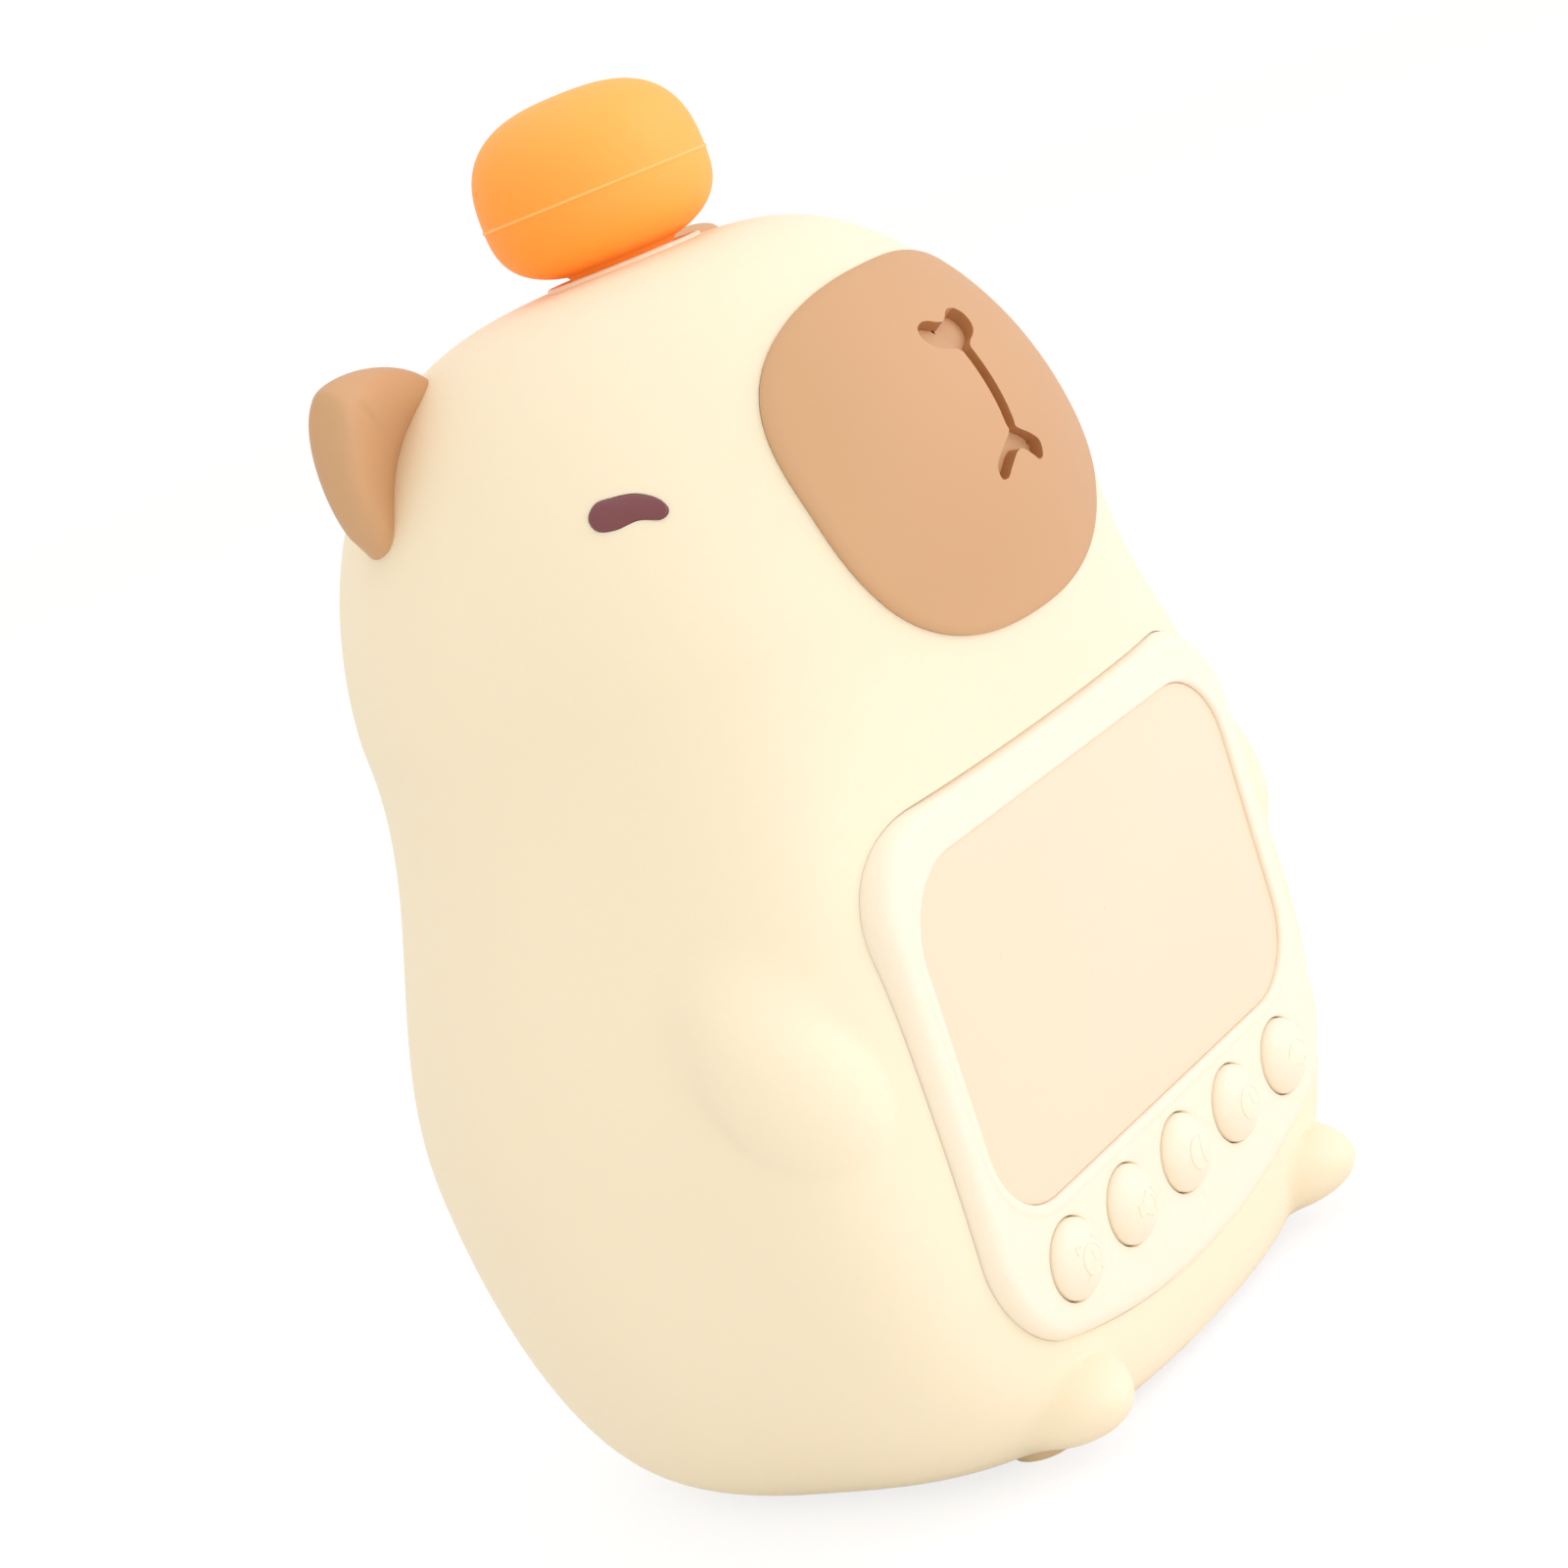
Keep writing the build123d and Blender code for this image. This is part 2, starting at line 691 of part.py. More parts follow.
def base_sites():
    """X and y of the base plate's screws."""
    for turn in (base_screw_angle, 180 - base_screw_angle, 180 + base_screw_angle, -base_screw_angle):
        a = math.radians(turn)
        yield base_screw_circle * math.cos(a), rim_y + base_screw_circle * math.sin(a)


def light_sites():
    top = light_board_bottom_z + light_board_height
    for side in (-1, 1):
        for z in (light_board_bottom_z + light_post_inset, top - light_post_inset):
            yield side * (light_board_half_width - light_post_inset), z


def cradle_sites():
    for x in (-cradle_post_x, cradle_post_x):
        yield x, cell_bottom_z + cradle_post_inset
        yield x, cell_bottom_z + cell_length - cradle_post_inset


cradle_back = cell_y + cell_radius + cradle_gap + cradle_wall
power_board_z = usb_z - usb_half_height - power_board_thick
power_board_back = skin_point(math.pi, power_board_z).Y - power_board_inset


def power_sites():
    y = power_board_back - power_board_length + power_screw_inset_y
    for side in (-1, 1):
        yield side * (power_board_half_width - power_screw_inset_x), y


def housing():
    """Both halves in one piece, before they are parted."""
    body = housing_outer - housing_inner
    body -= cylinder(floor_hole_radius, 0, rim_y, 0, floor_top_z + 1)
    for x, y in base_sites():
        body += cylinder(base_boss_radius, x, y, plate_top_z, base_boss_top_z)
    for x, y in power_sites():
        body += cylinder(power_post_radius, x, y, plate_top_z, power_board_z) & housing_outer
    for x, z in boss_sites():
        body += rod_y(boss_radius, x, z, split_y - boss_reach, usb_back) & housing_outer
    for x, z in light_sites():
        length = light_board_y + board_thick
        body += rod_y(light_post_radius, x, z, length, usb_back) & housing_outer
    for x, z in cradle_sites():
        body += rod_y(cradle_post_radius, x, z, cradle_back, usb_back + 20) & housing_outer
    for x in (-top_post_x, top_post_x):
        body += cylinder(top_post_radius, x, fruit_y, top_board_top_z, crown_z) & housing_outer
    ring = panel_outline(frame_inset)
    hole = panel_outline(frame_inset + frame_wall)
    body += on_panel(ring, panel_depth, board_back + frame_tail)
    body -= on_panel(panel_outline(-2), -20, panel_depth)
    body -= on_panel(hole, -5, board_back + frame_tail)
    body -= cylinder(stem_radius + stem_gap, 0, fruit_y, collar_bottom_z - 8, crown_z)
    notch_x = usb_half_width + usb_notch_gap
    notch_z = usb_half_height + usb_notch_gap
    body -= block(-notch_x, notch_x, usb_back - 12, usb_back + 5, usb_z - notch_z, usb_z + notch_z)
    for x, y in base_sites():
        body -= cylinder(screw_radius - screw_bite, x, y, 0, base_boss_top_z - 1)
    for x, y in power_sites():
        body -= cylinder(small_pilot_radius, x, y, power_board_z - power_screw_length, power_board_z)
    for x, z in boss_sites():
        body -= rod_y(screw_radius - screw_bite, x, z, split_y - boss_reach + 1, split_y)
        body -= rod_y(screw_radius + screw_clearance, x, z, split_y, split_y + housing_screw_seat + 1)
        seat = split_y + housing_screw_seat
        body -= rod_y(screw_head_radius + screw_clearance, x, z, seat, usb_back + 20)
    for x, z in light_sites():
        body -= rod_y(small_pilot_radius, x, z, light_board_y, light_board_y + light_screw_length + 1)
    for x, z in cradle_sites():
        body -= rod_y(small_pilot_radius, x, z, cradle_back, cradle_back + cradle_screw_length)
    for x in (-top_post_x, top_post_x):
        body -= cylinder(small_pilot_radius, x, fruit_y, top_board_top_z, top_board_top_z + top_screw_length)
    return body


def screw(length, radius, head_radius, head_height):
    """Pan-head screw pointing up, head's underside at the origin."""
    shank = Pos(0, 0, length / 2) * Cylinder(radius, length)
    head = Pos(0, 0, -head_height / 2) * Cylinder(head_radius, head_height)
    return shank + head


def housing_screws():
    group = Part()
    for x, z in boss_sites():
        piece = screw(
            housing_screw_length, screw_radius - screw_thread, screw_head_radius, screw_head_height
        )
        group += Pos(x, split_y + housing_screw_seat, z) * Rot(90, 0, 0) * piece
    return group


# ---------------------------------------------------------------- base
def base_plate():
    plate = cylinder(rim_opening - plate_gap, 0, rim_y, plate_bottom_z, plate_top_z)
    for x, y in rubber_sites():
        plate -= cylinder(rubber_foot_radius + rubber_foot_gap, x, y, 0, plate_bottom_z + rubber_foot_sink)
    for x, y in base_sites():
        plate -= cylinder(screw_radius + screw_clearance, x, y, 0, 10)
        plate -= cylinder(
            screw_head_radius + screw_clearance, x, y, 0, plate_bottom_z + base_screw_sink
        )
    plate -= cylinder(grille_hole_radius, 0, rim_y, 0, 10)
    for ring in range(1, grille_rings + 1):
        for i in range(6 * ring):
            a = 2 * math.pi * i / (6 * ring)
            x = ring * grille_pitch * math.cos(a)
            plate -= cylinder(grille_hole_radius, x, rim_y + ring * grille_pitch * math.sin(a), 0, 10)
    return plate


def rubber_sites():
    for turn in (45, 135, 225, 315):
        a = math.radians(turn)
        yield rubber_foot_circle * math.cos(a), rim_y + rubber_foot_circle * math.sin(a)


def rubber_feet():
    group = Part()
    for x, y in rubber_sites():
        pad = cylinder(rubber_foot_radius, x, y, 0, plate_bottom_z + rubber_foot_sink)
        group += chamfer(pad.edges().group_by(Axis.Z)[0], rubber_foot_chamfer)
    return group


def base_screws():
    group = Part()
    for x, y in base_sites():
        piece = screw(base_screw_length, screw_radius - screw_thread, screw_head_radius, base_screw_sink)
        group += Pos(x, y, plate_bottom_z + base_screw_sink) * piece
    return group


# ---------------------------------------------------------------- speaker
def revolved(points):
    """Solid of revolution about the speaker's axis from (radius, z) points."""
    face = make_face(Polyline(*[(r, 0, z) for r, z in points], close=True))
    return Pos(0, rim_y, 0) * revolve(face, Axis.Z)


def speaker_gasket():
    z = plate_top_z
    return revolved([
        (speaker_radius - speaker_ring, z), (speaker_radius, z),
        (speaker_radius, z + gasket_thick), (speaker_radius - speaker_ring, z + gasket_thick),
    ])


def speaker_frame():
    z = plate_top_z + gasket_thick
    inner = speaker_radius - speaker_ring
    back = z + speaker_depth
    return revolved([
        (inner, z), (speaker_radius, z), (speaker_radius, z + speaker_flange),
        (inner + basket_wall, z + speaker_flange), (speaker_throat + 1, back - basket_wall),
        (speaker_throat + 1, back), (pole_hole_radius, back), (pole_hole_radius, back - basket_wall),
        (speaker_throat - 0.5, back - basket_wall), (inner, z + speaker_flange),
    ])


def speaker_cone():
    z = plate_top_z + gasket_thick + cone_lift
    inner = speaker_radius - speaker_ring - cone_gap
    deep = plate_top_z + gasket_thick + speaker_depth - basket_wall - cone_back_gap
    low = deep - dust_cap_height
    return revolved([
        (inner, z), (inner - surround_roll, z), (dust_cap_radius, deep - cone_thick), (0, low - cone_thick),
        (0, low), (dust_cap_radius - cone_thick, deep),
        (inner - surround_roll - cone_thick, z + 2 * cone_thick), (inner, z + cone_thick),
    ])


def speaker_magnet():
    back = plate_top_z + gasket_thick + speaker_depth
    return cylinder(magnet_radius, 0, rim_y, back, back + magnet_height)


# ---------------------------------------------------------------- battery and charging
def battery_cell():
    top = cell_bottom_z + cell_length
    body = cylinder(cell_radius, 0, cell_y, cell_bottom_z, top - cell_cap_height)
    return body + cylinder(cell_cap_radius, 0, cell_y, top - cell_cap_height, top)


def battery_cradle():
    """Half-open cradle on four posts of the rear housing, with an end wall at each end."""
    z0 = cell_bottom_z - cradle_gap
    z1 = cell_bottom_z + cell_length + cradle_gap
    body = block(
        -cradle_half_width, cradle_half_width, cell_y, cradle_back, z0 - cradle_wall, z1 + cradle_wall
    )
    body -= cylinder(cell_radius + cradle_gap, 0, cell_y, z0, z1)
    for x, z in cradle_sites():
        body -= rod_y(small_clear_radius, x, z, cell_y, cradle_back + 1)
        body -= rod_y(cradle_head_radius + screw_clearance, x, z, cell_y - 1, cradle_back - cradle_wall)
    return body


def usb_socket():
    front = usb_back - usb_sink - usb_length
    shell = Pos(0, 0, usb_z) * Rot(90, 0, 0) * extrude(
        RectangleRounded(2 * usb_half_width, 2 * usb_half_height, usb_half_height - 0.05), usb_length
    )
    bore = Pos(0, 0, usb_z) * Rot(90, 0, 0) * extrude(
        RectangleRounded(
            2 * (usb_half_width - usb_shell), 2 * (usb_half_height - usb_shell),
            usb_half_height - usb_shell - 0.05,
        ),
        usb_length,
    )
    body = Pos(0, front + usb_length, 0) * (shell - Pos(0, usb_shell * 3, 0) * bore)
    tongue = block(
        -usb_tongue_half, usb_tongue_half, front, front + usb_length - usb_sink,
        usb_z - usb_tongue_thick / 2, usb_z + usb_tongue_thick / 2,
    )
    return body + tongue


def surround_prism(gap):
    sheet = RectangleRounded(
        2 * (surround_half_width + gap), 2 * (surround_half_height + gap), surround_corner + gap
    )
    return Pos(0, usb_back + 8, usb_z) * Rot(90, 0, 0) * extrude(sheet, 8 + skin_wall + surround_depth)


def usb_surround():
    """Plastic liner of the skin's opening, flush with the skin."""
    body = (surround_prism(0) & outer) - housing_outer
    slot = RectangleRounded(
        2 * (usb_half_width + usb_slot_gap), 2 * (usb_half_height + usb_slot_gap), usb_half_height
    )
    return body - Pos(0, usb_back + 8, usb_z) * Rot(90, 0, 0) * extrude(slot, 30)


def power_board():
    front = power_board_back - power_board_length
    board = block(
        -power_board_half_width, power_board_half_width, front, power_board_back,
        power_board_z, power_board_z + power_board_thick,
    )
    for x, y in power_sites():
        board -= cylinder(small_clear_radius, x, y, power_board_z - 1, power_board_z + 2)
    return board


def power_screws():
    group = Part()
    for x, y in power_sites():
        piece = screw(power_screw_length, small_screw_radius, small_head_radius, small_head_height)
        group += Pos(x, y, power_board_z + power_board_thick) * Rot(180, 0, 0) * piece
    return group


# ---------------------------------------------------------------- night light
def light_board():
    board = block(
        -light_board_half_width, light_board_half_width, light_board_y, light_board_y + board_thick,
        light_board_bottom_z, light_board_bottom_z + light_board_height,
    )
    for x, z in light_sites():
        board -= rod_y(small_clear_radius, x, z, light_board_y - 1, light_board_y + board_thick + 1)
    return board


def light_leds():
    group = Part()
    middle = light_board_bottom_z + light_board_height / 2
    half = led_size / 2
    for column in range(led_columns):
        x = led_pitch_x * (column - (led_columns - 1) / 2)
        for row in range(led_rows):
            z = middle + led_pitch_z * (row - (led_rows - 1) / 2)
            group += block(x - half, x + half, light_board_y - led_height, light_board_y, z - half, z + half)
    return group


def light_screws():
    group = Part()
    for x, z in light_sites():
        piece = screw(light_screw_length, small_screw_radius, small_head_radius, small_head_height)
        group += Pos(x, light_board_y, z) * Rot(-90, 0, 0) * piece
    return group


def cradle_screws():
    group = Part()
    for x, z in cradle_sites():
        piece = screw(cradle_screw_length, small_screw_radius, cradle_head_radius, cradle_head_height)
        group += Pos(x, cradle_back - cradle_wall, z) * Rot(-90, 0, 0) * piece
    return group


# ---------------------------------------------------------------- fruit button

def fruit_form(inset):
    """Round fruit, flatter below, as a revolved superellipse."""
    points = []
    for i in range(fruit_points + 1):
        turn = math.pi / 2 - math.pi * i / fruit_points
        c, s = math.cos(turn), math.sin(turn)
        tall = (fruit_top_z if s > 0 else 2 * fruit_equator_z - fruit_bottom_z) - fruit_equator_z - inset
        r = (fruit_radius - inset) * abs(c) ** (2 / fruit_fullness)
        z = fruit_equator_z + tall * math.copysign(abs(s) ** (2 / fruit_fullness), s)
        points.append((max(r, 0.0), 0, z))
    line = Spline(*points, tangents=[(1, 0, 0), (-1, 0, 0)])
    face = make_face([line, Line(points[-1], points[0])])
    return Pos(0, fruit_y, 0) * revolve(face, Axis.Z)


def fruit_cap():
    """Soft outside of the fruit button, open below for the stem."""
    body = fruit_form(0)
    body += Pos(0, fruit_y, fruit_equator_z) * Torus(fruit_radius, fruit_seam)
    body -= fruit_form(fruit_wall)
    return body - cylinder(stem_radius, 0, fruit_y, fruit_bottom_z - 1, fruit_bottom_z + 4)


def fruit_stem():
    """Hard core of the fruit with its guiding stem and a nub for the switch."""
    body = fruit_form(fruit_wall)
    body += cylinder(stem_radius, 0, fruit_y, stem_bottom_z, fruit_bottom_z + fruit_wall + 1)
    return body + cylinder(key_nub_radius, 0, fruit_y, stem_bottom_z - top_nub_length, stem_bottom_z)


def head_collar():
    body = cylinder(collar_radius, 0, fruit_y, collar_bottom_z, collar_top_z)
    body = chamfer(body.edges().group_by(Axis.Z)[-1], collar_chamfer)
    body -= cylinder(collar_dish_radius, 0, fruit_y, collar_top_z - collar_dish_depth, collar_top_z + 1)
    return body - cylinder(stem_radius + stem_gap, 0, fruit_y, collar_bottom_z - 1, collar_top_z + 1)


def top_board():
    board = block(
        -top_board_half_width, top_board_half_width,
        fruit_y - top_board_half_depth, fruit_y + top_board_half_depth,
        top_board_top_z - board_thick, top_board_top_z,
    )
    for x in (-top_post_x, top_post_x):
        board -= cylinder(small_clear_radius, x, fruit_y, top_board_top_z - 3, top_board_top_z + 1)
    return board


def top_switch():
    half = switch_size / 2
    top = top_board_top_z + top_switch_height
    body = block(-half, half, fruit_y - half, fruit_y + half, top_board_top_z, top)
    return body - cylinder(switch_bore, 0, fruit_y, top_board_top_z + top_switch_floor, top + 1)


def top_screws():
    group = Part()
    for x in (-top_post_x, top_post_x):
        piece = screw(top_screw_length, small_screw_radius, small_head_radius, small_head_height)
        group += Pos(x, fruit_y, top_board_top_z - board_thick) * piece
    return group


# ---------------------------------------------------------------- nodes
front_side = block(-100, 100, -100, split_y, -10, 200)
whole_housing = housing()

nodes = {
    "silicone_skin": silicone_skin(),
    "front_panel": face_panel(),
    "screen_lens": screen_lens(),
    "display_module": display_module(),
    "main_board": main_board(),
    "board_screws": board_screws(),
    "key_switches": key_switches(),
    "muzzle_pad": (pad_outer & pad_prism(0)) - pad_floor - groove_tool(),
    "eye_left": mirrored(eye_plug(0, eye_proud, eye_thick)),
    "eye_right": eye_plug(0, eye_proud, eye_thick),
    "housing_front": whole_housing & front_side,
    "housing_rear": whole_housing - front_side,
    "housing_screws": housing_screws(),
    "base_plate": base_plate(),
    "base_screws": base_screws(),
    "rubber_feet": rubber_feet(),
    "speaker_gasket": speaker_gasket(),
    "speaker_frame": speaker_frame(),
    "speaker_cone": speaker_cone(),
    "speaker_magnet": speaker_magnet(),
    "battery_cell": battery_cell(),
    "battery_cradle": battery_cradle(),
    "cradle_screws": cradle_screws(),
    "usb_socket": usb_socket(),
    "usb_surround": usb_surround(),
    "power_board": power_board(),
    "power_screws": power_screws(),
    "light_board": light_board(),
    "light_leds": light_leds(),
    "light_screws": light_screws(),
    "fruit_cap": fruit_cap(),
    "fruit_stem": fruit_stem(),
    "head_collar": head_collar(),
    "top_board": top_board(),
    "top_switch": top_switch(),
    "top_screws": top_screws(),
}
nodes["ear_right"] = ear() - cavity
nodes["ear_left"] = mirrored(nodes["ear_right"])
for name, x in zip(key_names, key_places()):
    nodes["button_" + name] = key_cap(x)

for name, shape in nodes.items():
    export_step(shape, f"parts/{name}.step")
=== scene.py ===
"""Looks of the animal-shaped bedside alarm clock with a night light.

Shapes are worked out in millimetres in the clock's own frame and become metres when a mesh is
made. +X is the clock's left-to-right as seen from the front, its face looks along -Y, +Z is up.
"""
import json
import math

import bmesh
import bpy
import numpy as np
from mathutils import Matrix, Vector


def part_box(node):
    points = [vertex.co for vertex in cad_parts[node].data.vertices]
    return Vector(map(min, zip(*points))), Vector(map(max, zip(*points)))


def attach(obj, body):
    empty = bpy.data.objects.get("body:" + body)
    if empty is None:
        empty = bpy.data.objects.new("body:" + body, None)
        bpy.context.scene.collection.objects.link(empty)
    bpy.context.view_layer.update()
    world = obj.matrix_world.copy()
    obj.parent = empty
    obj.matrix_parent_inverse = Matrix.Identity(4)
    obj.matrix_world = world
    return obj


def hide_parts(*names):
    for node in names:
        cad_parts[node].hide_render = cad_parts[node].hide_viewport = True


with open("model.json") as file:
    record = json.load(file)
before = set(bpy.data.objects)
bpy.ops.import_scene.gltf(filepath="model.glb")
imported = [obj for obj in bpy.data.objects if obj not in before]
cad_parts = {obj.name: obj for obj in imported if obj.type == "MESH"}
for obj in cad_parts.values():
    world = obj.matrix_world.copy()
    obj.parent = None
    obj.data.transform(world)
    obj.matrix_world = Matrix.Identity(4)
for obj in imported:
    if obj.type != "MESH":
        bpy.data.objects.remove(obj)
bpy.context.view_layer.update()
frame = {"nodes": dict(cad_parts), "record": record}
MM = 0.001

# ---------------------------------------- body form, as in the CAD
RIM_Z, RIM_RADIUS, RIM_Y = 1.4, 35.6, 0.5
BELLY_Z, BELLY_HALF, BELLY_FRONT, BELLY_BACK, BELLY_Y = 46.6, 54.6, 39.6, 55.0, -1.0
CHEEK_Z, CHEEK_HALF, CHEEK_FRONT, CHEEK_BACK, CHEEK_Y = 101.1, 44.2, 45.3, 42.0, -5.0
CROWN_Z, CROWN_Y = 144.3, -9.3
RIM_SQUARE, BELLY_SQUARE, CHEEK_SQUARE, CROWN_SQUARE, BACK_SQUARE = 2.5, 6.6, 3.3, 2.08, 2.1
HALF_FULLNESS, FRONT_FULLNESS, BACK_FULLNESS, FRONT_SQUARING = 0.54, 0.56, 0.23, 0.49
DOME_START, DOME_ROUND = 1.52, 0.29
MUZZLE_Z, MUZZLE_REACH, MUZZLE_SPREAD_Z, MUZZLE_SPREAD_X = 118.7, 10.5, 25.8, 25.4
SKIN_WALL = 2.6
RIM_OPENING = 32.7
SKIN_REACH = (-62, -62, RIM_Z - 2.5), (62, 58, CROWN_Z + 2)    # room in which the skin is meshed
SKIN_CELL, WALL_CELL, EAR_CELL = 0.95, 3.0, 0.45               # cells of the meshes made from fields
HAIR = 0.02                      # keeps seated faces from lying in one another

# ---------------------------------------- limbs
ARM_ANGLE, ARM_Z, ARM_SINK = 59.4, 57.6, 5.3
ARM_HALF, ARM_TURN, ARM_SWING, ARM_TILT = (8.0, 9.6, 13.8), 43.2, 17.9, 12.1
PAW_MELT, SHOULDER_MELT = 0.5, 4.5  # the arm melts into the body more towards its shoulder
FOOT_CENTRE, FOOT_HALF, FOOT_TURN, FOOT_PITCH = (28.4, -29.6, 7.7), (7.9, 12.7, 5.9), 12.1, 3.2
FOOT_MELT = 1.0
BANK, BANK_X, BANK_Z, BANK_WIDE, BANK_TALL = 1.5, 40.5, 56.0, 4.6, 17.0    # swell beside the panel
FRONT_PAD = (26.5, -25.7, 4.3, 2.2)  # place, radius and height of the rubber pad under each foot

# ---------------------------------------- face panel
PANEL_LEAN, PANEL_Y, KEY_ROW_Z = 4.5, -40.0, 23.2
PANEL_HALF, PANEL_TOP, PANEL_BOTTOM, PANEL_ARC = 40.4, 56.0, 12.9, 99.0
PANEL_TOP_CORNER, PANEL_LOW_CORNER = 12.5, 9.5
PANEL_DEPTH, PANEL_ROUND, PANEL_DRAW, PANEL_GAP = 5.4, 3.2, 2.35, 0.04
LOW_ROUND, LOW_END, LOW_FADE = 1.6, -8.0, 14.0    # the panel's edge is flatter along the bottom
SCREEN_HALF_X, SCREEN_HALF_V, SCREEN_V, SCREEN_CORNER = 35.8, 21.2, 28.7, 10.0
LENS_SINK, LENS_THICK, LENS_LEDGE, LENS_GAP, LENS_EDGE = 0.4, 1.6, 2.8, 0.04, 0.2
LIP_WIDTH, LIP_RISE, LIP_HEIGHT, LIP_EDGE = 1.3, 0.8, 0.18, 0.5
KEY_NAMES = ("alarm", "sound", "sleep", "clock", "lamp")
KEY_PITCH, KEY_HOLE, KEY_GAP, KEY_HOLE_EDGE = 13.4, 4.9, 0.17, 0.27
KEY_PROUD, KEY_DOME, KEY_EDGE = 0.5, 2.2, 0.35
KEY_NUB, KEY_NUB_END = 1.3, -8.5     # the nub that presses the switch
KEY_FLANGE, KEY_FLANGE_THICK, KEY_PLAY = 5.7, 0.9, 0.3
ICON_BEAD, ICON_SINK = 0.15, 0.02

# ---------------------------------------- head
PAD_HALF_X, PAD_HALF_Z, PAD_Z, PAD_SQUARE = 26.4, 21.6, 113.0, 2.42
PAD_PROUD, PAD_SINK, PAD_GAP, PAD_ROUND = 0.76, 1.2, 0.03, 0.6
GROOVE_DEPTH = 1.55
NOSE_HALF_WIDTH, NOSE_LOW, NOSE_HIGH, NOSE_STEP = 4.5, 107.5, 125.5, 1.0
EYE_Z, EYE_ANGLE = 120.4, 57.6
EYE_THICK, EYE_PROUD, EYE_GAP, EYE_EDGE, EYE_BULGE = 1.1, 0.1, 0.05, 0.3, 0.12
EAR_ANGLE, EAR_Z, EAR_SINK, EAR_LEAN, EAR_SLOPE = 116.0, 133.6, 0.6, 48.5, 51.5
EAR_HALF_WIDTH, EAR_HALF_THICK, EAR_LENGTH, EAR_FORWARD = 11.6, 5.8, 14.1, 0.21
EAR_TAPER, EAR_TIP_ROUND, EAR_THICK_TAPER, EAR_ROOT = 1.4, 0.735, 2.4, -0.45
EAR_REACH = (22, 11, 20), (24, 12, 24)    # room round its root in which the ear is meshed
EAR_BLUNT, EAR_HOLLOW, EAR_RIM = 3.2, (10.8, 6.0, 13.2), 3.2
EAR_HOLLOW_PLACE = (-2.2, 2.0, 0.2)  # across the blade, in front of its face, up from its root
FRUIT_Y, FRUIT_RADIUS, FRUIT_UPPER, FRUIT_LOWER, FRUIT_FULLNESS = -11.3, 14.0, 11.7, 8.8, 2.7
FRUIT_Z = 153.5
FRUIT_SEAM, SEAM_WIDTH, FRUIT_WALL = 0.2, 0.16, 2.2
STEM_RADIUS, CAP_GAP, STEM_GAP = 6.4, 0.1, 0.3
COLLAR_RADIUS, COLLAR_GAP, COLLAR_EDGE = 9.7, 0.03, 0.4
DISH_RADIUS, DISH_DEPTH = 8.9, 0.9
SOCKET_GAP, SOCKET_DEEP, SOCKET_CORNER = 0.05, 8.0, 3.0


# ======================================== mesh helpers
def into_scene(name, data):
    """A new object in the scene that holds the data."""
    placed = bpy.data.objects.new(name, data)
    bpy.context.scene.collection.objects.link(placed)
    return placed


def new_piece(name, points, faces):
    """An object from points in millimetres."""
    mesh = bpy.data.meshes.new(name)
    mesh.from_pydata((np.asarray(points, float) * MM).tolist(), [], [list(f) for f in faces])
    mesh.update()
    return into_scene(name, mesh)


def bake(piece):
    """Turn a piece's modifiers into plain mesh."""
    graph = bpy.context.evaluated_depsgraph_get()
    mesh = bpy.data.meshes.new_from_object(piece.evaluated_get(graph), depsgraph=graph)
    piece.modifiers.clear()
    old = piece.data
    piece.data = mesh
    bpy.data.meshes.remove(old)
    return piece


def cut(piece, *tools):
    """Take the tools' space out of a piece."""
    for tool in tools:
        change = piece.modifiers.new("cut", "BOOLEAN")
        change.operation, change.solver, change.object = "DIFFERENCE", "EXACT", tool
        bake(piece)
        bpy.data.objects.remove(tool)
    return piece


def smooth(piece, angle=35.0):
    """Smooth shading, with the edges sharper than the angle kept."""
    for face in piece.data.polygons:
        face.use_smooth = True
    piece.data.set_sharp_from_angle(angle=math.radians(angle))
    return piece


def joined(name, *pieces):
    """Several pieces as one object."""
    mesh = bmesh.new()
    for piece in pieces:
        mesh.from_mesh(piece.data)
        bpy.data.objects.remove(piece)
    target = new_piece(name, [], [])
    mesh.to_mesh(target.data)
    mesh.free()
    return target


def mirrored(piece, name):
    """The twin of a piece on the other side."""
    twin = into_scene(name, piece.data.copy())
    twin.data.transform(Matrix.Scale(-1, 4, (1, 0, 0)))
    twin.data.flip_normals()
    return twin


def loft(name, rings, closed_start=True, closed_end=True):
    """Skin over rings of as many points each; a whole ring is capped with one face."""
    count = len(rings[0])
    points = np.concatenate([np.asarray(r, float) for r in rings])
    faces = []
    for i in range(len(rings) - 1):
        for j in range(count):
            k = (j + 1) % count
            faces.append((i * count + j, i * count + k, (i + 1) * count + k, (i + 1) * count + j))
    if closed_start:
        faces.append(tuple(reversed(range(count))))
    if closed_end:
        last = (len(rings) - 1) * count
        faces.append(tuple(range(last, last + count)))
    piece = new_piece(name, points, faces)
    outward(piece)
    return piece


def outward(piece):
    """Faces point outwards."""
    mesh = bmesh.new()
    mesh.from_mesh(piece.data)
    bmesh.ops.remove_doubles(mesh, verts=mesh.verts, dist=1e-7)
    bmesh.ops.recalc_face_normals(mesh, faces=mesh.faces)
    mesh.to_mesh(piece.data)
    mesh.free()
    return piece


def circle(count):
    """Cosines and sines at even steps round a full turn."""
    turns = np.arange(count) * 2 * math.pi / count
    return np.cos(turns), np.sin(turns)


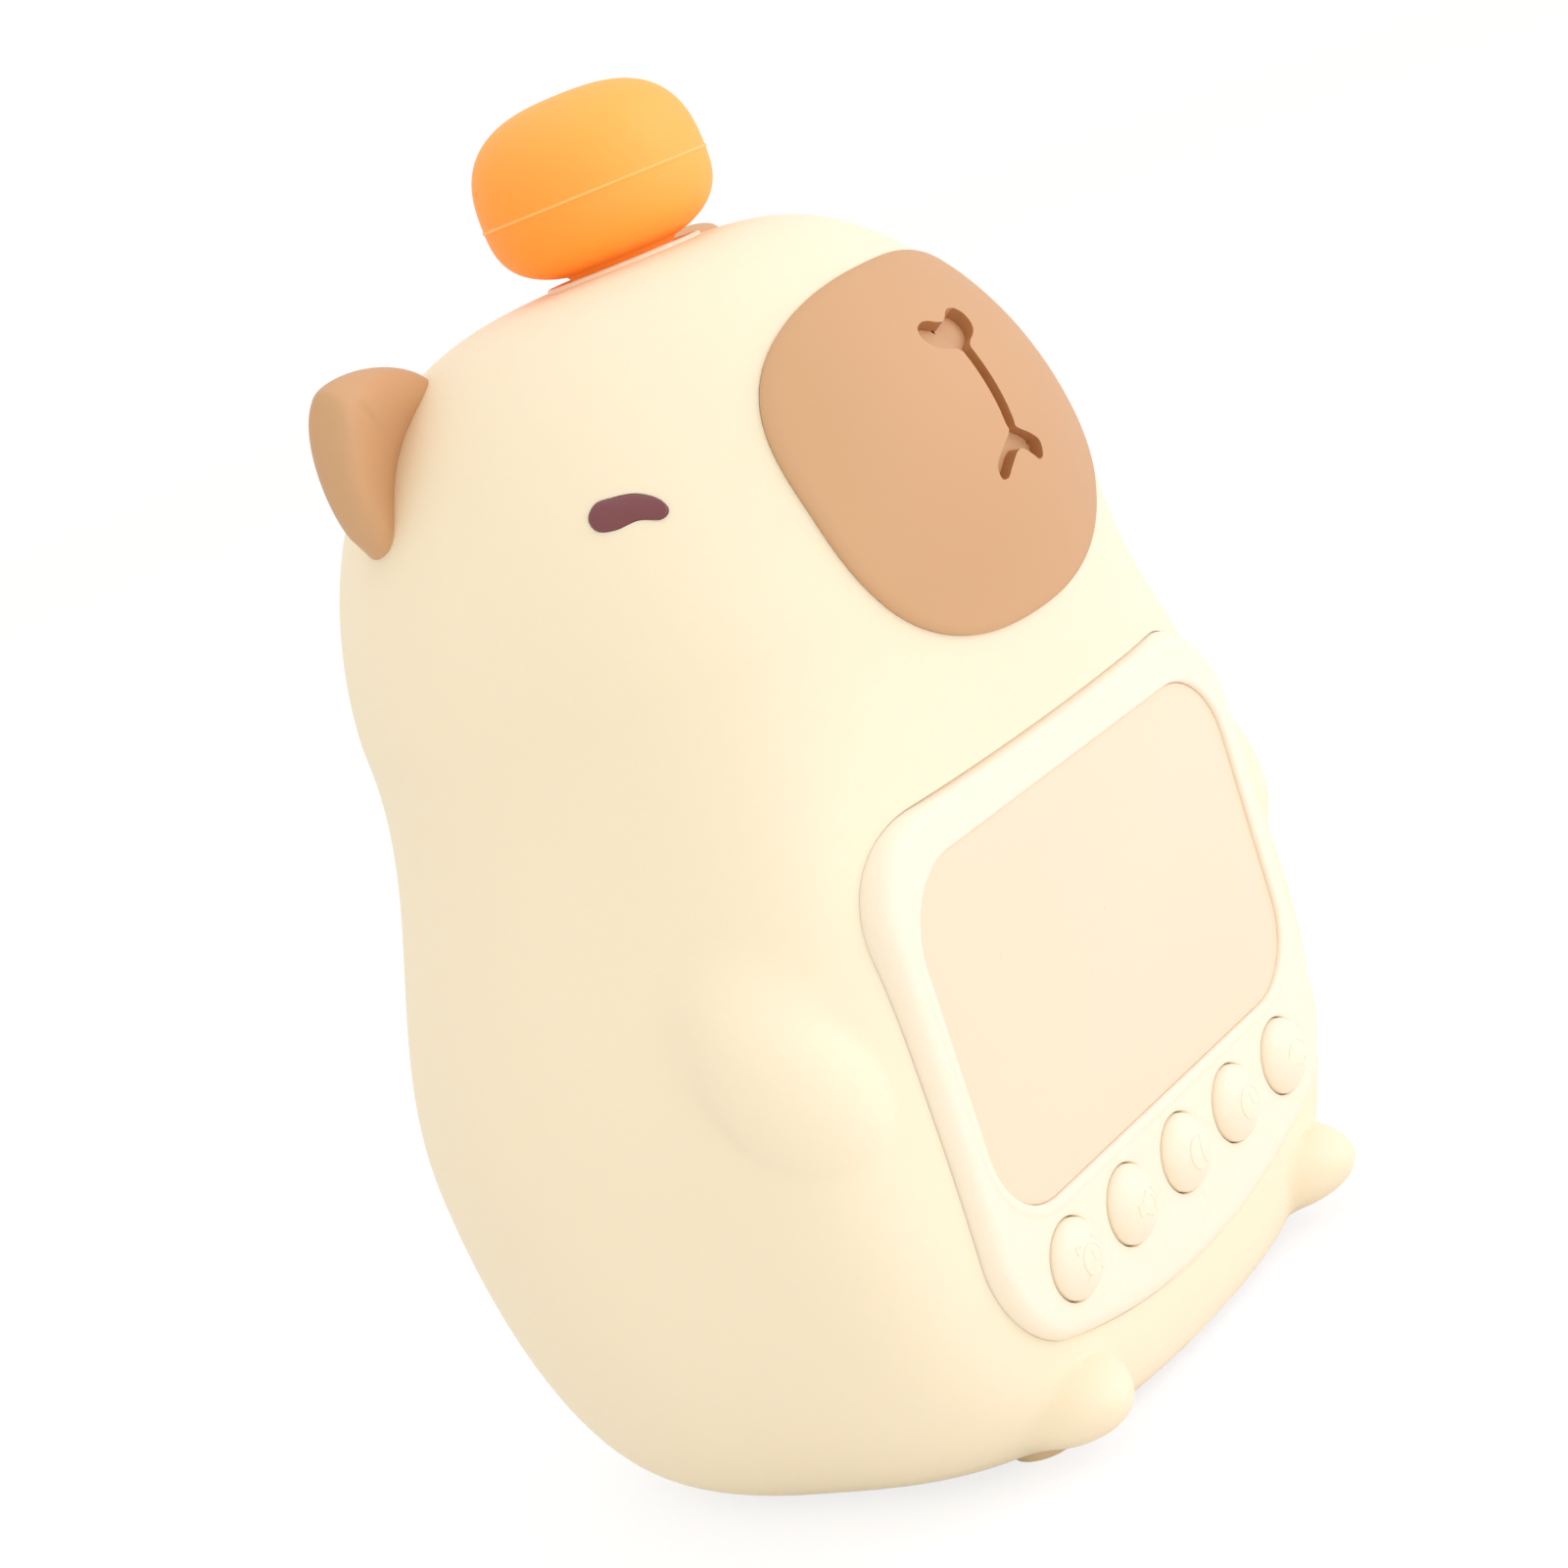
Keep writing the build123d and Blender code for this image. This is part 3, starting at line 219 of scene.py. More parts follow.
def revolve(name, profile, place=(0, 0, 0), count=96):
    """Solid of revolution about Z from (radius, z) points, closed on itself or on the axis."""
    c, s = circle(count)
    rings = []
    for radius, z in profile:
        r = max(radius, 1e-4)
        rings.append(np.stack([r * c, r * s, np.full(count, z)], 1) + place)
    on_axis = profile[0][0] <= 1e-4 and profile[-1][0] <= 1e-4
    if on_axis:
        return loft(name, rings)
    rings.append(rings[0])
    return loft(name, rings, False, False)


def add(tree, kind, values=(), **settings):
    """A new node with its settings and the values of its sockets."""
    node = tree.nodes.new(kind)
    for setting, value in settings.items():
        setattr(node, setting, value)
    for socket, value in dict(values).items():
        node.inputs[socket].default_value = value
    return node


def span(tree, source=(0.0, 1.0), target=(0.0, 1.0), **settings):
    """A node that maps one span of values to another."""
    ends = zip(("From Min", "From Max", "To Min", "To Max"), source + target)
    return add(tree, "ShaderNodeMapRange", dict(ends), **settings)


def wire(tree, *wires):
    """Links, each given as a node, its output, the next node and its input."""
    for one, output, two, socket in wires:
        tree.links.new(one.outputs[output], two.inputs[socket])


def quarter(*degrees):
    """Sine and cosine at steps of a quarter turn, for rounded edges."""
    return [(math.sin(a), math.cos(a)) for a in map(math.radians, degrees)]


def surface_net(field, low, high, cell):
    """Even mesh of a field's zero level: a point for each cell that it crosses."""
    axes = [np.arange(a, b + cell, cell) for a, b in zip(low, high)]
    inside = field(*np.meshgrid(*axes, indexing="ij")) < 0
    cells = tuple(n - 1 for n in inside.shape)
    count = np.zeros(cells, int)
    for i in (0, 1):
        for j in (0, 1):
            for k in (0, 1):
                count += inside[i:i + cells[0], j:j + cells[1], k:k + cells[2]]
    active = (count > 0) & (count < 8)
    number = np.full(cells, -1)
    number[active] = np.arange(active.sum())
    where = np.argwhere(active)
    points = np.stack([axes[a][where[:, a]] + cell / 2 for a in range(3)], 1)
    faces = []
    for axis in range(3):
        one, two = [a for a in range(3) if a != axis]
        ahead = np.take(inside, range(1, inside.shape[axis]), axis)
        here = np.take(inside, range(inside.shape[axis] - 1), axis)
        edge = np.argwhere(here != ahead)
        edge = edge[(edge[:, one] > 0) & (edge[:, two] > 0)]
        edge = edge[(edge[:, one] < cells[one]) & (edge[:, two] < cells[two])]
        starts_inside = here[tuple(edge.T)]
        corners = []
        for step_one, step_two in ((1, 1), (0, 1), (0, 0), (1, 0)):
            at = edge.copy()
            at[:, one] -= step_one
            at[:, two] -= step_two
            corners.append(number[tuple(at.T)])
        quads = np.stack(corners, 1)
        turn = starts_inside if axis != 1 else ~starts_inside
        quads[~turn] = quads[~turn][:, ::-1]
        faces.append(quads)
    return points, np.concatenate(faces)


def settle(field, points, faces, cell, rounds=4):
    """Spread a surface net's points evenly and set them on the field's zero level."""
    pairs = np.concatenate([faces[:, [0, 1]], faces[:, [1, 2]], faces[:, [2, 3]], faces[:, [3, 0]]])
    pairs = np.unique(np.sort(pairs, 1), axis=0)
    degree = np.bincount(pairs.ravel(), minlength=len(points))[:, None]
    for turn in range(rounds):
        if turn:
            total = np.zeros_like(points)
            np.add.at(total, pairs[:, 0], points[pairs[:, 1]])
            np.add.at(total, pairs[:, 1], points[pairs[:, 0]])
            points = points * 0.4 + total / degree * 0.6
        for _ in range(3):
            step = 0.02
            value = field(*points.T)
            slope = np.stack([
                field(*(points + shift).T) - value for shift in np.eye(3) * step
            ], 1) / step
            size = np.maximum((slope ** 2).sum(1), 0.05)
            move = -slope * (value / size)[:, None]
            length = np.linalg.norm(move, axis=1, keepdims=True)
            points = points + move * np.minimum(1, cell / np.maximum(length, 1e-9))
    return points


def net_piece(name, field, low, high, cell):
    """A closed piece from a field."""
    points, faces = surface_net(field, low, high, cell)
    return new_piece(name, settle(field, points, faces, cell), faces)


def melt(one, two, width):
    """Union of two fields with a fillet of about that width."""
    share = np.maximum(width - np.abs(one - two), 0) / width
    return np.minimum(one, two) - share ** 2 * width / 4


def ellipsoid(x, y, z, half):
    """About the distance from an ellipsoid at the origin."""
    a, b, c = half
    k0 = np.sqrt((x / a) ** 2 + (y / b) ** 2 + (z / c) ** 2)
    k1 = np.sqrt((x / a ** 2) ** 2 + (y / b ** 2) ** 2 + (z / c ** 2) ** 2)
    return k0 * (k0 - 1) / np.maximum(k1, 1e-9)


# ======================================== body form
def eased(t):
    return (1 - np.cos(math.pi * np.clip(t, 0, 1))) / 2


def profile(z, rim, belly, cheek, fullness):
    """A reach of the body at height z."""
    drop = np.clip((BELLY_Z - z) / (BELLY_Z - RIM_Z), 0, 1)
    low = rim + (belly - rim) * (1 - drop ** 2) ** fullness
    high = belly + (cheek - belly) * eased((z - BELLY_Z) / (CHEEK_Z - BELLY_Z))
    return np.where(z < BELLY_Z, low, high)


def section_middle(z):
    drop = np.clip((BELLY_Z - z) / (BELLY_Z - RIM_Z), 0, 1)
    low = RIM_Y + (BELLY_Y - RIM_Y) * (1 - drop)
    high = BELLY_Y + (CHEEK_Y - BELLY_Y) * eased((z - BELLY_Z) / (CHEEK_Z - BELLY_Z))
    base = np.where(z < BELLY_Z, low, high)
    rise = np.clip((z - CHEEK_Z) / (CROWN_Z - CHEEK_Z), 0, 1)
    return base, base + (CROWN_Y - CHEEK_Y) * rise ** 3


def section_radius(z, angle):
    """Radius of the body at height z, angle 0 at the face."""
    rise = np.clip((z - CHEEK_Z) / (CROWN_Z - CHEEK_Z), 0, 0.9999)
    dome = (1 - rise ** DOME_START) ** DOME_ROUND
    base, _ = section_middle(z)
    half = profile(z, RIM_RADIUS, BELLY_HALF, CHEEK_HALF, HALF_FULLNESS) * dome
    front = profile(z, RIM_RADIUS - RIM_Y, BELLY_FRONT, CHEEK_FRONT, FRONT_FULLNESS) + base
    back = profile(z, RIM_RADIUS + RIM_Y, BELLY_BACK, CHEEK_BACK, BACK_FULLNESS) - base
    drop = np.clip((BELLY_Z - z) / (BELLY_Z - RIM_Z), 0, 1)
    square = np.where(
        z < BELLY_Z,
        RIM_SQUARE + (BELLY_SQUARE - RIM_SQUARE) * (1 - drop ** 2) ** FRONT_SQUARING,
        BELLY_SQUARE + (CHEEK_SQUARE - BELLY_SQUARE) * eased((z - BELLY_Z) / (CHEEK_Z - BELLY_Z))
        + (CROWN_SQUARE - CHEEK_SQUARE) * eased(rise),
    )
    side, ahead = np.abs(np.sin(angle)), np.cos(angle)
    reach = np.where(ahead > 0, front, back) * dome
    power = np.where(ahead > 0, square, BACK_SQUARE)
    radius = ((side / half) ** power + (np.abs(ahead) / reach) ** power) ** (-1 / power)
    swell = MUZZLE_REACH * np.exp(-((z - MUZZLE_Z) / MUZZLE_SPREAD_Z) ** 2)
    swell = swell * np.exp(-(radius * side / MUZZLE_SPREAD_X) ** 2) * np.maximum(ahead, 0)
    return radius + swell


def skin_point(degrees, z, proud=0.0):
    """A point on the body's surface, angle in degrees round from the face."""
    angle = math.radians(degrees)
    radius = float(section_radius(np.float64(z), np.float64(angle))) + proud
    middle = float(section_middle(np.float64(z))[1])
    return np.array([radius * math.sin(angle), middle - radius * math.cos(angle), z])


def body_field(x, y, z):
    """About the distance from the body without its limbs."""
    level = np.clip(z, RIM_Z + 1e-3, CROWN_Z - 1e-3)
    across = y - section_middle(level)[1]
    angle = np.arctan2(x, -across)
    step = 0.05
    radius = section_radius(level, angle)
    slope = (section_radius(level + step, angle) - section_radius(level - step, angle)) / (2 * step)
    away = (np.hypot(x, across) - radius) / np.sqrt(1 + slope ** 2)
    return np.maximum(np.maximum(away, z - CROWN_Z), RIM_Z - z)


def turned(x, y, z, centre, rotation):
    """Coordinates in a limb's own frame."""
    local = np.stack([x - centre[0], y - centre[1], z - centre[2]], -1) @ np.array(rotation)
    return local[..., 0], local[..., 1], local[..., 2]


ARM_CENTRE = skin_point(ARM_ANGLE, ARM_Z, -ARM_SINK)
ARM_FRAME = (
    Matrix.Rotation(math.radians(-ARM_TURN), 3, "Z")
    @ Matrix.Rotation(math.radians(-ARM_SWING), 3, "X")
    @ Matrix.Rotation(math.radians(-ARM_TILT), 3, "Y")
)


FOOT_FRAME = (
    Matrix.Rotation(math.radians(FOOT_TURN), 3, "Z")
    @ Matrix.Rotation(math.radians(FOOT_PITCH), 3, "X")
)


def skin_field(x, y, z):
    """Body, a little fuller beside the panel, with both arms and both feet melted on."""
    x = np.abs(x)
    body = body_field(x, y, z)
    beside = np.exp(-((x - BANK_X) / BANK_WIDE) ** 2 - ((z - BANK_Z) / BANK_TALL) ** 2)
    body = body - BANK * beside * np.clip(-y / 20, 0, 1)
    across, ahead, along = turned(x, y, z, ARM_CENTRE, ARM_FRAME)
    width = PAW_MELT + (SHOULDER_MELT - PAW_MELT) * np.clip(along / ARM_HALF[2], 0, 1)
    body = melt(body, ellipsoid(across, ahead, along, ARM_HALF), width)
    foot = ellipsoid(*turned(x, y, z, FOOT_CENTRE, FOOT_FRAME), FOOT_HALF)
    return melt(body, foot, FOOT_MELT)


def front_surface(x, z, proud=0.0):
    """Points on the front of the body at x and z, moved out along the surface's normal."""
    x, z = np.broadcast_arrays(np.asarray(x, float), np.asarray(z, float))
    low, high = np.zeros(x.shape), np.full(x.shape, math.pi / 2)
    for _ in range(40):
        angle = (low + high) / 2
        short = section_radius(z, angle) * np.sin(angle) < np.abs(x)
        low, high = np.where(short, angle, low), np.where(short, high, angle)
    points = np.stack([x, section_middle(z)[1] - section_radius(z, low) * np.cos(low), z], -1)
    if np.any(proud):
        value = body_field(*np.moveaxis(points, -1, 0))
        step = 0.02
        slope = np.stack([
            body_field(*np.moveaxis(points + shift, -1, 0)) - value for shift in np.eye(3) * step
        ], -1) / step
        slope /= np.linalg.norm(slope, axis=-1, keepdims=True)
        points = points + slope * np.asarray(proud, float)[..., None]
    return points


def skin_plane(degrees, z):
    """Origin and axes of a plane on the body: along the surface, up it, and outwards."""
    along = skin_point(degrees + 1, z) - skin_point(degrees - 1, z)
    up = skin_point(degrees, z + 1) - skin_point(degrees, z - 1)
    along /= np.linalg.norm(along)
    out = np.cross(along, up)
    out /= np.linalg.norm(out)
    return skin_point(degrees, z), along, np.cross(out, along), out


# ======================================== panel shapes
LEAN = math.radians(PANEL_LEAN)
PANEL_ORIGIN = np.array([0.0, PANEL_Y, KEY_ROW_Z])
PANEL_UP = np.array([0.0, -math.sin(LEAN), math.cos(LEAN)])
PANEL_OUT = np.array([0.0, -math.cos(LEAN), -math.sin(LEAN)])


def on_panel(x, v, out):
    """Points from panel coordinates: across, up the panel, and out of its face."""
    x, v, out = np.broadcast_arrays(*[np.asarray(a, float) for a in (x, v, out)])
    across = x[..., None] * np.array([1.0, 0, 0])
    return PANEL_ORIGIN + across + v[..., None] * PANEL_UP + out[..., None] * PANEL_OUT


def ray_outline(distance, count, centre_v, far=90.0):
    """Outline of a flat shape, given its distance function, as points round a centre."""
    c, s = circle(count)
    low, high = np.zeros(count), np.full(count, far)
    for _ in range(45):
        reach = (low + high) / 2
        inside = distance(reach * c, centre_v + reach * s) < 0
        low, high = np.where(inside, reach, low), np.where(inside, high, reach)
    return low * c, centre_v + low * s


def rounded_box(x, v, half_x, half_v, corner):
    """Distance from a rounded rectangle."""
    a, b = np.abs(x) - half_x + corner, np.abs(v) - half_v + corner
    return np.hypot(np.maximum(a, 0), np.maximum(b, 0)) + np.minimum(np.maximum(a, b), 0) - corner


def meet(one, two, radius):
    """Intersection of two flat shapes with the corner between them rounded."""
    a, b = np.maximum(radius + one, 0), np.maximum(radius + two, 0)
    return np.minimum(-radius, np.maximum(one, two)) + np.hypot(a, b)


def panel_shape(inset):
    """Distance function of the face panel's outline, moved inwards."""
    middle = (PANEL_TOP - PANEL_BOTTOM) / 2
    tall = (PANEL_TOP + PANEL_BOTTOM) / 2

    def distance(x, v):
        upper = rounded_box(x, v - middle + 20, PANEL_HALF, tall + 20, PANEL_TOP_CORNER)
        arc = np.hypot(x, v - PANEL_ARC + PANEL_BOTTOM) - PANEL_ARC
        return meet(upper, arc, PANEL_LOW_CORNER) + inset

    return distance


def screen_shape(inset):
    def distance(x, v):
        corner = max(SCREEN_CORNER - inset, 0.5)
        return rounded_box(x, v - SCREEN_V, SCREEN_HALF_X - inset, SCREEN_HALF_V - inset, corner)

    return distance


def panel_ring(shape, out, count=240):
    x, v = ray_outline(shape, count, SCREEN_V)
    return on_panel(x, v, out)


# ======================================== pieces
def muzzle_outline(count, grow=0.0):
    c, s = circle(count)
    x = (PAD_HALF_X + grow) * np.sign(c) * np.abs(c) ** (2 / PAD_SQUARE)
    z = (PAD_HALF_Z + grow) * np.sign(s) * np.abs(s) ** (2 / PAD_SQUARE)
    return x, z


def muzzle_body(name, outer, inner, grow=0.0, edge_round=0.0, count=160, rings=26):
    """Patch of the head's front between two offsets of the surface."""
    x, z = muzzle_outline(count, grow)
    shares = np.linspace(1, 0, rings) ** 0.8
    layers = []
    for share in shares[::-1][1:]:
        layers.append((share, -inner))
    for step in (0.0, 0.25, 0.5, 0.75):
        lift = edge_round * math.sin(step * math.pi / 2)
        draw = edge_round * (1 - math.cos(step * math.pi / 2))
        layers.append((1 - draw / PAD_HALF_X, outer - edge_round + lift))
    for share in shares[1:-1]:
        layers.append((share * (1 - edge_round / PAD_HALF_X), outer))
    made = [front_surface(x * s, PAD_Z + z * s, np.full(count, p)) for s, p in layers]
    return loft(name, made)


def spline(points, closed=True, dense=8):
    """Smooth curve through 2-D points; a repeated point is a corner."""
    points = [np.array(p, float) for p in points]
    curve = []
    count = len(points)
    for i in range(count if closed else count - 1):
        p0, p1 = points[(i - 1) % count], points[i]
        p2, p3 = points[(i + 1) % count], points[(i + 2) % count]
        if not closed and i == 0:
            p0 = p1
        if not closed and i == count - 2:
            p3 = p2
        if np.allclose(p1, p2):
            continue
        if np.allclose(p0, p1):
            p0 = p1 - (p2 - p1)
        if np.allclose(p2, p3):
            p3 = p2 + (p2 - p1)
        for k in range(dense):
            t = k / dense
            curve.append(0.5 * (
                2 * p1 + (p2 - p0) * t + (2 * p0 - 5 * p1 + 4 * p2 - p3) * t ** 2
                + (3 * p1 - p0 - 3 * p2 + p3) * t ** 3
            ))
    return np.array(curve)


NOSE_HALF = [                # half of the nose, groove and mouth from the top down, as x and z
    (0.0, 125.35), (0.0, 125.35), (0.95, 125.65), (1.9, 126.15), (3.0, 126.3), (4.0, 125.95),
    (4.6, 125.1), (4.5, 124.1), (3.9, 123.3), (2.9, 122.75), (1.6, 122.3), (0.95, 121.8), (0.85, 121.0),
    (0.85, 117.0), (0.85, 113.0), (0.85, 111.9), (3.1, 110.5), (4.5, 109.4), (4.75, 108.4), (4.4, 107.5),
    (3.4, 107.4), (2.4, 108.2), (0.9, 109.3), (0.0, 109.6), (0.0, 109.6),
]


def nose_cutter():
    """Nose, groove and mouth as one closed tool whose floor follows the muzzle."""
    half = spline(NOSE_HALF, closed=False, dense=5)
    half = half[(half[:, 0] > 0.02)]
    other = half[::-1] * (-1, 1)
    outline = np.concatenate([[NOSE_HALF[0]], half, [NOSE_HALF[-1]], other])
    mesh = bmesh.new()
    edge = [mesh.verts.new((x, 0, z)) for x, z in outline]
    face = mesh.faces.new(edge)
    bmesh.ops.triangulate(mesh, faces=[face])
    levels = [(0, 0, z) for z in np.arange(NOSE_LOW, NOSE_HIGH + NOSE_STEP, NOSE_STEP)]
    places = [(x, 0, 0) for x in np.arange(-NOSE_HALF_WIDTH, NOSE_HALF_WIDTH + 0.5, NOSE_STEP)]
    for across, points in (((0, 0, 1), levels), ((1, 0, 0), places)):
        for point in points:
            geometry = mesh.verts[:] + mesh.edges[:] + mesh.faces[:]
            bmesh.ops.bisect_plane(mesh, geom=geometry, plane_co=point, plane_no=across)
    mesh.verts.index_update()
    flat = np.array([v.co for v in mesh.verts])
    tris = [[v.index for v in f.verts] for f in mesh.faces]
    border = [(e.verts[0].index, e.verts[1].index) for e in mesh.edges if len(e.link_faces) == 1]
    mesh.free()
    floor = front_surface(flat[:, 0], flat[:, 2], np.full(len(flat), PAD_PROUD - GROOVE_DEPTH))
    top = front_surface(flat[:, 0], flat[:, 2], np.full(len(flat), PAD_PROUD + 3.0))
    count = len(flat)
    faces = [tuple(t) for t in tris] + [tuple(i + count for i in reversed(t)) for t in tris]
    faces += [(a, b, b + count, a + count) for a, b in border]
    tool = new_piece("nose_cutter", np.concatenate([floor, top]), faces)
    return outward(tool)


EYE_OUTLINE = [            # outwards and up from its middle on the skin, right-hand eye
    (4.5, 0.9), (3.3, 2.3), (1.2, 2.25), (-1.4, 1.75), (-3.6, 0.4),
    (-4.45, -1.2), (-3.4, -2.0), (-0.9, -1.25), (1.7, -1.37), (3.8, -0.75),
]


def eye_plug(name, grow, front, back):
    """The right eye's outline run through the skin, its outer edge rounded when it has a face."""
    origin, along, up, out = skin_plane(EYE_ANGLE, EYE_Z)
    outline = spline(EYE_OUTLINE, dense=10)
    middle = outline.mean(0)
    reach = outline - middle
    normal = reach / np.linalg.norm(reach, axis=1, keepdims=True)
    soft = EYE_EDGE if front < 1 else 0.0
    layers = [(0.0, -back), (0.0, front - soft)]
    for s, c in quarter(30, 60, 90):
        layers.append((soft * (1 - c), front - soft * (1 - s)))
    rings = []
    for draw, height in layers[:2 if soft == 0 else None]:
        flat = middle + reach + normal * (grow - draw)
        rings.append(origin + np.outer(flat[:, 0], along) + np.outer(flat[:, 1], up) + height * out)
    if soft:
        for share in (0.75, 0.5, 0.25):
            flat = middle + (reach - normal * soft) * share
            lift = front + EYE_BULGE * (1 - share ** 2)
            rings.append(origin + np.outer(flat[:, 0], along) + np.outer(flat[:, 1], up) + lift * out)
    return loft(name, rings)


def shade_walls(piece):
    """The steep walls of the nose, groove and mouth take a darker tan: painted shade, standing in for
    the shade that falls in these hollows.
    """
    piece.data.materials.append(FINISHES["silicone_tan_painted_shade"])
    for face in piece.data.polygons:
        x, z = face.center.x / MM, face.center.z / MM
        in_nose = abs(x) < NOSE_HALF_WIDTH + 1.5 and NOSE_LOW - 1 < z < NOSE_HIGH + 2
        if in_nose and abs(face.normal.y) < 0.5:
            face.material_index = 1


def prism(name, x, v, back, front):
    """Flat panel outline run between two heights over the panel's face."""
    return loft(name, [on_panel(x, v, back), on_panel(x, v, front)])


def cylinder(name, radius, y, bottom, top, count=96):
    c, s = circle(count)
    ring = np.stack([radius * c, y + radius * s, np.zeros(count)], 1)
    return loft(name, [ring + (0, 0, bottom), ring + (0, 0, top)])


def silicone_skin():
    """Outer skin with its arms and feet, hollow, open for everything that is set into it."""
    skin = net_piece("silicone_body", skin_field, *SKIN_REACH, SKIN_CELL)
    inner = net_piece("inner_wall", lambda *at: body_field(*at) + SKIN_WALL, *SKIN_REACH, WALL_CELL)
    inner.data.flip_normals()
    skin = joined("silicone_body", skin, inner)
    x, v = ray_outline(panel_shape(-PANEL_GAP), 240, SCREEN_V)
    eye_space = eye_plug("eye_space", EYE_GAP, front=3, back=EYE_THICK)
    tools = [
        prism("panel_space", x, v, back=-22, front=16),
        cylinder("rim_space", RIM_OPENING, RIM_Y, bottom=-3, top=8),
        cylinder("collar_space", COLLAR_RADIUS + COLLAR_GAP, FRUIT_Y, bottom=138, top=148),
        muzzle_body("muzzle_space", outer=6.0, inner=PAD_SINK, grow=PAD_GAP, rings=16),
        eye_space,
        mirrored(eye_space, "left_eye_space"),
        charging_space(),
    ]
    return cut(skin, joined("spaces", *tools))


def charging_space(count=64):
    """Rounded block round the charging socket's liner."""
    low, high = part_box("usb_surround")
    middle_z = (low.z + high.z) / 2 / MM
    half_x, half_z = (high.x - low.x) / 2 / MM + SOCKET_GAP, (high.z - low.z) / 2 / MM + SOCKET_GAP
    corner = SOCKET_CORNER + SOCKET_GAP
    x, z = ray_outline(lambda a, b: rounded_box(a, b, half_x, half_z, corner), count, 0.0)
    y = skin_point(180, middle_z)[1]
    ring = np.stack([x, np.full(count, y), middle_z + z], 1)
    return loft("charging_space", [ring - (0, SOCKET_DEEP, 0), ring + (0, SOCKET_DEEP, 0)])


def face_panel():
    """Panel with a rounded edge, key holes, and a soft lip and a ledge round its window."""
    inner = panel_ring(screen_shape(LENS_LEDGE), -PANEL_DEPTH)
    rings = [inner, panel_ring(panel_shape(0), -PANEL_DEPTH)]
    for s, c in quarter(*np.linspace(0, 90, 9)):
        ring = panel_ring(panel_shape(PANEL_DRAW * (1 - c)), 0.0)
        share = eased(((ring - PANEL_ORIGIN) @ PANEL_UP - LOW_END) / LOW_FADE)
        drop = (LOW_ROUND + (PANEL_ROUND - LOW_ROUND) * share) * (s - 1)
        rings.append(ring + np.outer(drop, PANEL_OUT))
    for share in (0.0, 0.2, 0.4, 0.6, 0.8, 1.0):
        rise = LIP_HEIGHT * float(eased(share))
        rings.append(panel_ring(screen_shape(-LIP_WIDTH - LIP_RISE * (0.5 - share)), rise))
    for s, c in quarter(0, 30, 60, 90):
        rings.append(panel_ring(screen_shape(-LIP_EDGE * (1 - s)), LIP_HEIGHT - LIP_EDGE * (1 - c)))
    rings.append(panel_ring(screen_shape(0), -LENS_SINK - LENS_THICK))
    rings.append(panel_ring(screen_shape(LENS_LEDGE), -LENS_SINK - LENS_THICK))
    rings.append(inner)
    panel = loft("face_panel", rings, False, False)
    return cut(panel, joined("key_holes", *[key_hole(x) for x in key_places()]))


def front_pad():
    """Rubber pad with a rounded lower edge under the right foot."""
    x, y, radius, tall = FRONT_PAD
    return revolve("front_pad", [(0, tall), (radius, tall), (radius, 0.5), (radius - 0.15, 0.15),
                                 (radius - 0.5, 0), (0, 0)], (x, y, 0), 64)


def collar():
    """Collar in the head with a rounded rim, a dish for the fruit and a way for its stem."""
    low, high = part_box("head_collar")
    foot, top = low.z / MM, high.z / MM
    inner, steps = STEM_RADIUS + STEM_GAP, quarter(0, 30, 60, 90)
    line = [(inner, foot), (COLLAR_RADIUS, foot)]
    line += [(COLLAR_RADIUS - COLLAR_EDGE * (1 - c), top - COLLAR_EDGE * (1 - s)) for s, c in steps]
    line += [(DISH_RADIUS + COLLAR_EDGE * (1 - s), top - COLLAR_EDGE * (1 - c)) for s, c in steps]
    line += [(DISH_RADIUS, top - DISH_DEPTH), (inner, top - DISH_DEPTH)]
    return revolve("collar", line, (0, FRUIT_Y, 0))


def key_places():
    return [KEY_PITCH * (i - 2) for i in range(len(KEY_NAMES))]


def panel_revolve(name, profile, x, count=72):
    """Solid of revolution about a key's axis, from (radius, height over the face) points."""
    c, s = circle(count)
    rings = []
    for radius, height in profile:
        r = max(radius, 1e-4)
        rings.append(on_panel(x + r * c, r * s, height))
    return loft(name, rings)


def key_hole(x):
    rim, low, high = KEY_HOLE_EDGE, -PANEL_DEPTH - 2, 2
    layers = [(0, low), (KEY_HOLE, low), (KEY_HOLE, -rim)]
    layers += [(KEY_HOLE + rim * (1 - c), -rim + rim * s) for s, c in quarter(30, 60, 90)]
    layers += [(KEY_HOLE + rim, high), (0, high)]
    return panel_revolve("key_hole", layers, x)


def dome_height(radius):
    """Height of a key's top over the panel's face at a distance from its middle."""
    rim = KEY_HOLE - KEY_GAP
    ball = (rim ** 2 + KEY_DOME ** 2) / (2 * KEY_DOME)
    return KEY_PROUD + KEY_DOME - ball + np.sqrt(np.maximum(ball ** 2 - np.asarray(radius) ** 2, 0))


def key_cap(name, x):
    """Domed key with a rounded rim, and the flange behind the panel."""
    rim = KEY_HOLE - KEY_GAP
    back = -PANEL_DEPTH - KEY_PLAY
    low = back - KEY_FLANGE_THICK
    line = [(0, KEY_NUB_END), (KEY_NUB, KEY_NUB_END), (KEY_NUB, low), (KEY_FLANGE, low)]
    line += [(KEY_FLANGE, back), (rim, back)]
    line += [(rim, KEY_PROUD - KEY_EDGE), (rim - 0.06, KEY_PROUD - 0.1)]
    for radius in (rim - 0.25, 4.0, 3.5, 3.0, 2.5, 2.0, 1.5, 1.0, 0.5, 0):
        line.append((radius, float(dome_height(radius))))
    return panel_revolve(name, line, x)


